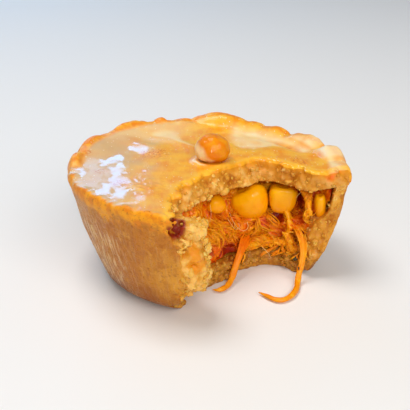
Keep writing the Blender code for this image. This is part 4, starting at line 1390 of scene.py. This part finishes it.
def wall_colour(paint):
    """The baked outer wall, and the streaks down it: dark at its foot, tan above, and orange at its top."""
    sides = paint.add("ShaderNodeSeparateXYZ", {0: paint.place}).outputs
    height = paint.math("ADD", sides["Z"], paint.between(paint.noise(5, 4), 0.3, 0.7, -0.002, 0.002))
    wall = paint.mix(paint.between(height, 0.0005, 0.012), (0.15, 0.028, 0.0005), (0.53, 0.20, 0.007))
    wall = paint.mix(paint.between(height, 0.013, 0.025), wall, (0.60, 0.235, 0.014))
    wall = paint.mix(paint.share("browned", 0.55), wall, (0.46, 0.130, 0.003))
    fair = paint.math("MULTIPLY", paint.mask("fair"), paint.between(height, 0.003, 0.012, 0.1, 0.7))
    wall = paint.mix(fair, wall, (0.78, 0.37, 0.03))
    mottle = paint.between(paint.noise(3.6, 8, (1, 1, 1), 0.76), 0.47, 0.62)
    wall = paint.mix(paint.math("MULTIPLY", mottle, 0.55), wall, (0.38, 0.10, 0.002))
    pale = paint.between(paint.noise(3.0, 8, (1, 1, 0.6), 0.78), 0.53, 0.68)
    wall = paint.mix(paint.math("MULTIPLY", pale, 0.45), wall, (0.86, 0.46, 0.07))
    around = paint.math("MULTIPLY", paint.math("ARCTAN2", sides["X"], sides["Y"]), STREAK_RADIUS * MM)
    down = paint.math("MULTIPLY", sides["Z"], STREAK_DRAW)
    unrolled = paint.add("ShaderNodeCombineXYZ", {"X": around, "Y": down}).outputs[0]
    streaks = {"Vector": unrolled, "Scale": 1 / (0.7 * MM), "Detail": 3}
    streak = paint.between(paint.add("ShaderNodeTexNoise", streaks).outputs["Fac"], 0.5, 0.62)
    # Painted glints and painted light: pale streaks, strongest on the front left.
    low = paint.between(height, 0.019, 0.025, 1.0, 0.2)
    lined = paint.math("MULTIPLY", streak, paint.between(paint.mask("streaked"), 0.0, 0.7, 0.06, 0.6))
    lined = paint.math("MULTIPLY", lined, low)
    wall = paint.mix(lined, wall, (0.95, 0.70, 0.36))
    band = paint.mix(paint.between(paint.noise(2.4, 4), 0.38, 0.62), (0.90, 0.36, 0.004), (0.72, 0.21, 0.002))
    wall = paint.mix(paint.between(height, 0.0252, 0.0285), wall, band)
    fleck = paint.between(paint.noise(0.7, 3), 0.57, 0.68)
    return paint.mix(paint.math("MULTIPLY", fleck, 0.6), wall, (0.34, 0.09, 0.003)), streak


def case_material():
    paint = Paint("baked_case")
    wall, streak = wall_colour(paint)
    crumb = crumb_colour(paint, (0.90, 0.53, 0.13), (0.74, 0.34, 0.03), (0.46, 0.13, 0.002))
    crumb = dull_base(paint, crumb)
    crumb = paint.mix(paint.between(paint.mask("stain"), 0.1, 0.6, 0.0, 0.9), crumb, (0.80, 0.28, 0.002))
    crumb = paint.mix(paint.mask("juice"), crumb, (0.78, 0.12, 0.001))
    # Painted shade: dark red in the hole's lower part and in the pit of the base.
    crumb = paint.mix(paint.mask("hollow"), crumb, HOLLOW_RED)
    colour = paint.mix(paint.between(paint.mask("crumb"), 0.3, 0.7), wall, crumb)
    normal = paint.bump(paint.noise(0.7, 4), 0.1)
    normal = paint.bump(streak, 0.05, normal)
    roughness = paint.between(paint.noise(0.9, 4), 0.35, 0.65, 0.26, 0.6)
    soft = (0.35, (1.0, 0.5, 0.15), 0.0013)
    return paint.finish(colour, roughness, normal, soft, Specular_IOR_Level=0.28)


def crumb_material():
    paint = Paint("pastry_crumbs")
    colour = crumb_colour(paint, (0.95, 0.66, 0.24), (0.86, 0.47, 0.07), (0.62, 0.24, 0.007))
    colour = dull_base(paint, colour)
    normal = paint.bump(paint.noise(0.5, 4), 0.06)
    return paint.finish(
        colour, 0.38, normal, soft=(0.35, (1.0, 0.5, 0.2), 0.001), Specular_IOR_Level=0.3,
    )  # fmt: skip


def lid_material():
    paint = Paint("glazed_lid")
    bare = paint.math("MAXIMUM", paint.mask("crumb"), paint.mask("side"))
    glaze = paint.mix(paint.between(paint.noise(6, 4), 0.38, 0.62), (0.95, 0.46, 0.014), (0.88, 0.31, 0.002))
    brush = paint.between(paint.noise(1.1, 4, (1.0, 0.25, 1)), 0.4, 0.66)
    glaze = paint.mix(paint.math("MULTIPLY", brush, 0.35), glaze, (0.97, 0.58, 0.06))
    # Painted reflection: paler on the left third and at the back left, where the glaze would reflect the
    # light.
    glaze = paint.mix(paint.share("wash", 0.8), glaze, (0.70, 0.47, 0.24))
    glaze = paint.mix(paint.share("veil", 0.7), glaze, (0.93, 0.64, 0.29))
    speckle = paint.between(paint.noise(0.55, 3), 0.48, 0.62)
    brown = paint.math("MULTIPLY", paint.between(paint.mask("patch"), 0.15, 0.8), speckle)
    glaze = paint.mix(brown, glaze, (0.64, 0.16, 0.002))
    # Painted sheen and highlights: pale in the trough, on the back right lobes, round the ball's foot, along
    # the front left edge and on the crests of the ripples.
    glaze = paint.mix(paint.mask("cream"), glaze, (0.97, 0.76, 0.42))
    glaze = paint.mix(paint.share("side", 0.95), glaze, wall_colour(paint)[0])
    baked = paint.mix(paint.between(paint.noise(2.0, 4), 0.4, 0.65), (0.84, 0.25, 0.001), (0.93, 0.44, 0.03))
    glaze = paint.mix(paint.share("bake", 0.95), glaze, baked)
    # Painted glints: pale specks on small bubbles in the glaze, which the bump also raises.
    bubble = paint.between(paint.cells(1.5), 0.09, 0.14, 1.0, 0.0)
    bubble = paint.math("MULTIPLY", bubble, paint.between(bare, 0.0, 0.5, 0.9, 0.0))
    glaze = paint.mix(bubble, glaze, (0.97, 0.86, 0.62))
    # Painted highlight along the glaze at the bitten edge.
    glaze = paint.mix(paint.share("lip", 0.6), glaze, (0.95, 0.54, 0.05))
    section = crumb_colour(paint, (0.92, 0.55, 0.16), (0.76, 0.34, 0.035), (0.44, 0.12, 0.002))
    section = paint.mix(paint.between(paint.mask("below"), 0.45, 0.15), section, (0.72, 0.27, 0.008))
    colour = paint.mix(paint.between(paint.mask("crumb"), 0.3, 0.7), glaze, section)
    colour = paint.mix(paint.mask("juice"), colour, (0.80, 0.14, 0.001))
    # Painted shade: dark red in the hole between case and lid.
    colour = paint.mix(paint.mask("hollow"), colour, HOLLOW_RED)
    matt = paint.math("MAXIMUM", bare, paint.mask("bake"))
    thick = paint.between(paint.mask("wash"), 0, 1, 0.35, 0.85)
    coat = paint.math("MULTIPLY", paint.between(matt, 0.1, 0.7, 1.0, 0.0), thick)
    normal = paint.bump(paint.noise(1.6, 4, (1, 0.5, 1)), 0.07)
    normal = paint.bump(paint.noise(0.4, 3), 0.03, normal)
    normal = paint.bump(bubble, 0.06, normal)
    return paint.finish(
        colour, paint.between(bare, 0.2, 0.8, 0.35, 0.5), normal, soft=(0.2, (1.0, 0.5, 0.2), 0.0012),
        Coat_Weight=coat, Coat_Roughness=0.08, Specular_IOR_Level=0.25,
    )  # fmt: skip


def ball_material():
    paint = Paint("glazed_ball")
    colour = paint.mix(paint.between(paint.noise(3, 3), 0.35, 0.7), (0.78, 0.21, 0.001), (0.84, 0.31, 0.002))
    # Painted shade: darker towards the ball's foot.
    colour = paint.mix(paint.share("low", 0.45), colour, (0.52, 0.13, 0.001))
    # Pale left and lower flank: pooled glaze, with a painted reflection of the light from the left.
    colour = paint.mix(paint.share("pale", 0.9), colour, (0.96, 0.72, 0.38))
    normal = paint.bump(paint.noise(0.9, 4), 0.05)
    roughness = paint.between(paint.noise(1), 0.3, 0.7, 0.3, 0.45)
    return paint.finish(
        colour, roughness, normal, soft=(0.2, (1.0, 0.4, 0.1), 0.001),
        Coat_Weight=0.25, Coat_Roughness=0.06, Specular_IOR_Level=0.1,
    )  # fmt: skip


def bed_material():
    paint = Paint("chicken_bed")
    # Painted light and shade: redder and darker where the face lies back, yellower where it stands out, and
    # dark red in the hollows.
    raised = paint.math("ADD", paint.mask("raised"), paint.between(paint.noise(1.2, 4), 0.3, 0.7, -0.4, 0.4))
    colour = paint.mix(paint.between(raised, -1.5, -0.1), (0.55, 0.03, 0.001), (0.86, 0.17, 0.001))
    colour = paint.mix(paint.between(raised, 0.0, 1.2), colour, (0.98, 0.40, 0.003))
    colour = paint.mix(paint.mask("hollow"), colour, (0.30, 0.008, 0.0005))
    normal = paint.bump(paint.noise(0.6, 4, (1, 1, 0.4)), 0.2)
    return paint.finish(
        colour, 0.3, normal, soft=(0.1, (1.0, 0.4, 0.1), 0.0006), Specular_IOR_Level=0.3,
    )  # fmt: skip


def shred_material():
    paint = Paint("shredded_chicken")
    # The height mask mixes from a darker red to a lighter orange: on the fibres it is painted shade where
    # they lie back in the filling and painted light where they stand out; along the strands it follows their
    # length.
    deep = paint.mix(paint.mask("tint"), (0.84, 0.085, 0.001), (0.95, 0.18, 0.001))
    light = paint.mix(paint.mask("tint"), (0.84, 0.19, 0.001), (0.95, 0.42, 0.003))
    light = paint.mix(paint.between(paint.mask("tint"), 1.2, 2.0), light, (0.95, 0.66, 0.28))
    colour = paint.mix(paint.mask("height"), deep, light)
    # Painted highlight: yellow patches on the parts that stand out.
    wet = paint.between(paint.noise(1.6, 3), 0.5, 0.75, 0.0, 0.7)
    colour = paint.mix(paint.math("MULTIPLY", wet, paint.mask("height")), colour, (0.98, 0.54, 0.02))
    normal = paint.bump(paint.noise(0.3, 3), 0.05)
    return paint.finish(
        colour, 0.34, normal, soft=(0.05, (0.5, 0.4, 0.3), 0.0004), Specular_IOR_Level=0.25,
    )  # fmt: skip


def herb_material():
    paint = Paint("herb")
    spotted = paint.between(paint.noise(0.6, 3), 0.4, 0.6)
    colour = paint.mix(spotted, (0.030, 0.022, 0.006), (0.075, 0.06, 0.012))
    return paint.finish(colour, 0.45, paint.bump(paint.noise(0.3, 3), 0.05))


def corn_material():
    paint = Paint("sweetcorn")
    # Painted light: the top of each kernel is lighter yellow and its lower part deeper orange, as the light
    # falls on it.
    colour = paint.mix(paint.mask("crown"), (0.94, 0.33, 0.001), (1.0, 0.50, 0.001))
    colour = paint.mix(paint.between(paint.noise(2.5, 3), 0.4, 0.75, 0.0, 0.5), colour, (0.96, 0.32, 0.001))
    normal = paint.bump(paint.noise(1.2, 2), 0.05)
    return paint.finish(
        colour, 0.3, normal, soft=(0.08, (1.0, 0.6, 0.2), 0.001),
        Coat_Weight=0.2, Coat_Roughness=0.08, Specular_IOR_Level=0.15,
    )  # fmt: skip


# --- Stage ---


def make_floor():
    """A plain pale floor, wide enough to fill the picture."""
    sides = 96
    angle = np.linspace(0, 2 * math.pi, sides, endpoint=False)
    ring = [(FLOOR_RADIUS * math.cos(a), FLOOR_RADIUS * math.sin(a), 0) for a in angle]
    mesh = bpy.data.meshes.new("floor")
    mesh.from_pydata(ring, [], [range(sides)])
    floor = put_in_scene("floor", mesh)
    paint = Paint("floor")
    mesh.materials.append(paint.finish((0.86, 0.86, 0.86), 0.7, paint.bump(paint.noise(60, 2), 0.01)))


def softbox(name, azimuth, elevation, distance, size, power, colour):
    """A square light that faces the pie, at an azimuth from -Y."""
    light = bpy.data.lights.new(name, "AREA")
    light.shape = "RECTANGLE"
    light.size, light.size_y = size
    light.energy = power
    light.color = colour
    lamp = put_in_scene(name, light)
    turn, rise = math.radians(azimuth), math.radians(elevation)
    away = Vector((math.sin(turn) * math.cos(rise), -math.cos(turn) * math.cos(rise), math.sin(rise)))
    lamp.location = TARGET + away * distance
    lamp.rotation_euler = (-away).to_track_quat("-Z", "Y").to_euler()


def make_lights():
    for light in LIGHTS:
        softbox(*light)
    world = bpy.data.worlds.new("studio")
    world.use_nodes = True
    background = world.node_tree.nodes["Background"].inputs
    background["Color"].default_value = (*WORLD_COLOUR, 1)
    background["Strength"].default_value = WORLD_STRENGTH
    bpy.context.scene.world = world


def make_camera():
    """The photograph's view, level with its own slight roll."""
    camera = bpy.data.cameras.new("camera")
    camera.sensor_width = SENSOR
    camera.lens = FOCAL_PIXELS * SENSOR / PHOTO_SIDE
    rise = math.radians(CAMERA_ELEVATION)
    place = TARGET + Vector((0, -math.cos(rise), math.sin(rise))) * CAMERA_DISTANCE
    look = (TARGET - place).to_track_quat("-Z", "Y").to_matrix().to_4x4()
    obj = put_in_scene("camera", camera)
    obj.matrix_world = Matrix.Translation(place) @ look @ Matrix.Rotation(math.radians(CAMERA_ROLL), 4, "Z")
    bpy.context.scene.camera = obj


# --- The pie ---


def dress(obj, material, slot, *nodes):
    """Gives a piece its material, and puts it in the place of the frame's nodes."""
    obj.data.materials.append(material)
    if nodes:
        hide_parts(*nodes)
    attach(obj, "root")


def make_pie():
    case, case_broken = make_case()
    lid, lid_broken = make_lid()
    dress(case, case_material(), "crust", "crust_case")
    dress(lid, lid_material(), "glazed_crust", "crust_lid")
    dress(make_ball(), ball_material(), "ball_crust", "dough_ball")
    broken = (np.concatenate(parts) for parts in zip(case_broken, lid_broken))
    dress(make_crumbs(*broken), crumb_material(), "crust")
    grid = Grid((-35, -35, 4), (36, 36, 26), CORE_STEP)
    values = filling_field(grid)
    bed, points, faces = make_core(grid, values)
    dress(bed, bed_material(), "chicken", "chicken_filling")
    field = Field(values, grid.low, (grid.step,) * 3)
    shredded = shred_material()
    dress(make_shreds(field, points, faces), shredded, "chicken")
    dress(make_loose_fibres(field, points, faces), shredded, "chicken")
    for strand in STRANDS:
        dress(make_strand(*strand), shredded, "chicken", strand[0])
    dress(make_herbs(), herb_material(), "chicken")
    corn = corn_material()
    for kernel in KERNELS:
        dress(make_kernel(*kernel), corn, "sweetcorn", kernel[0])


bpy.context.scene.view_settings.view_transform = "Standard"
make_pie()
make_floor()
make_lights()
make_camera()
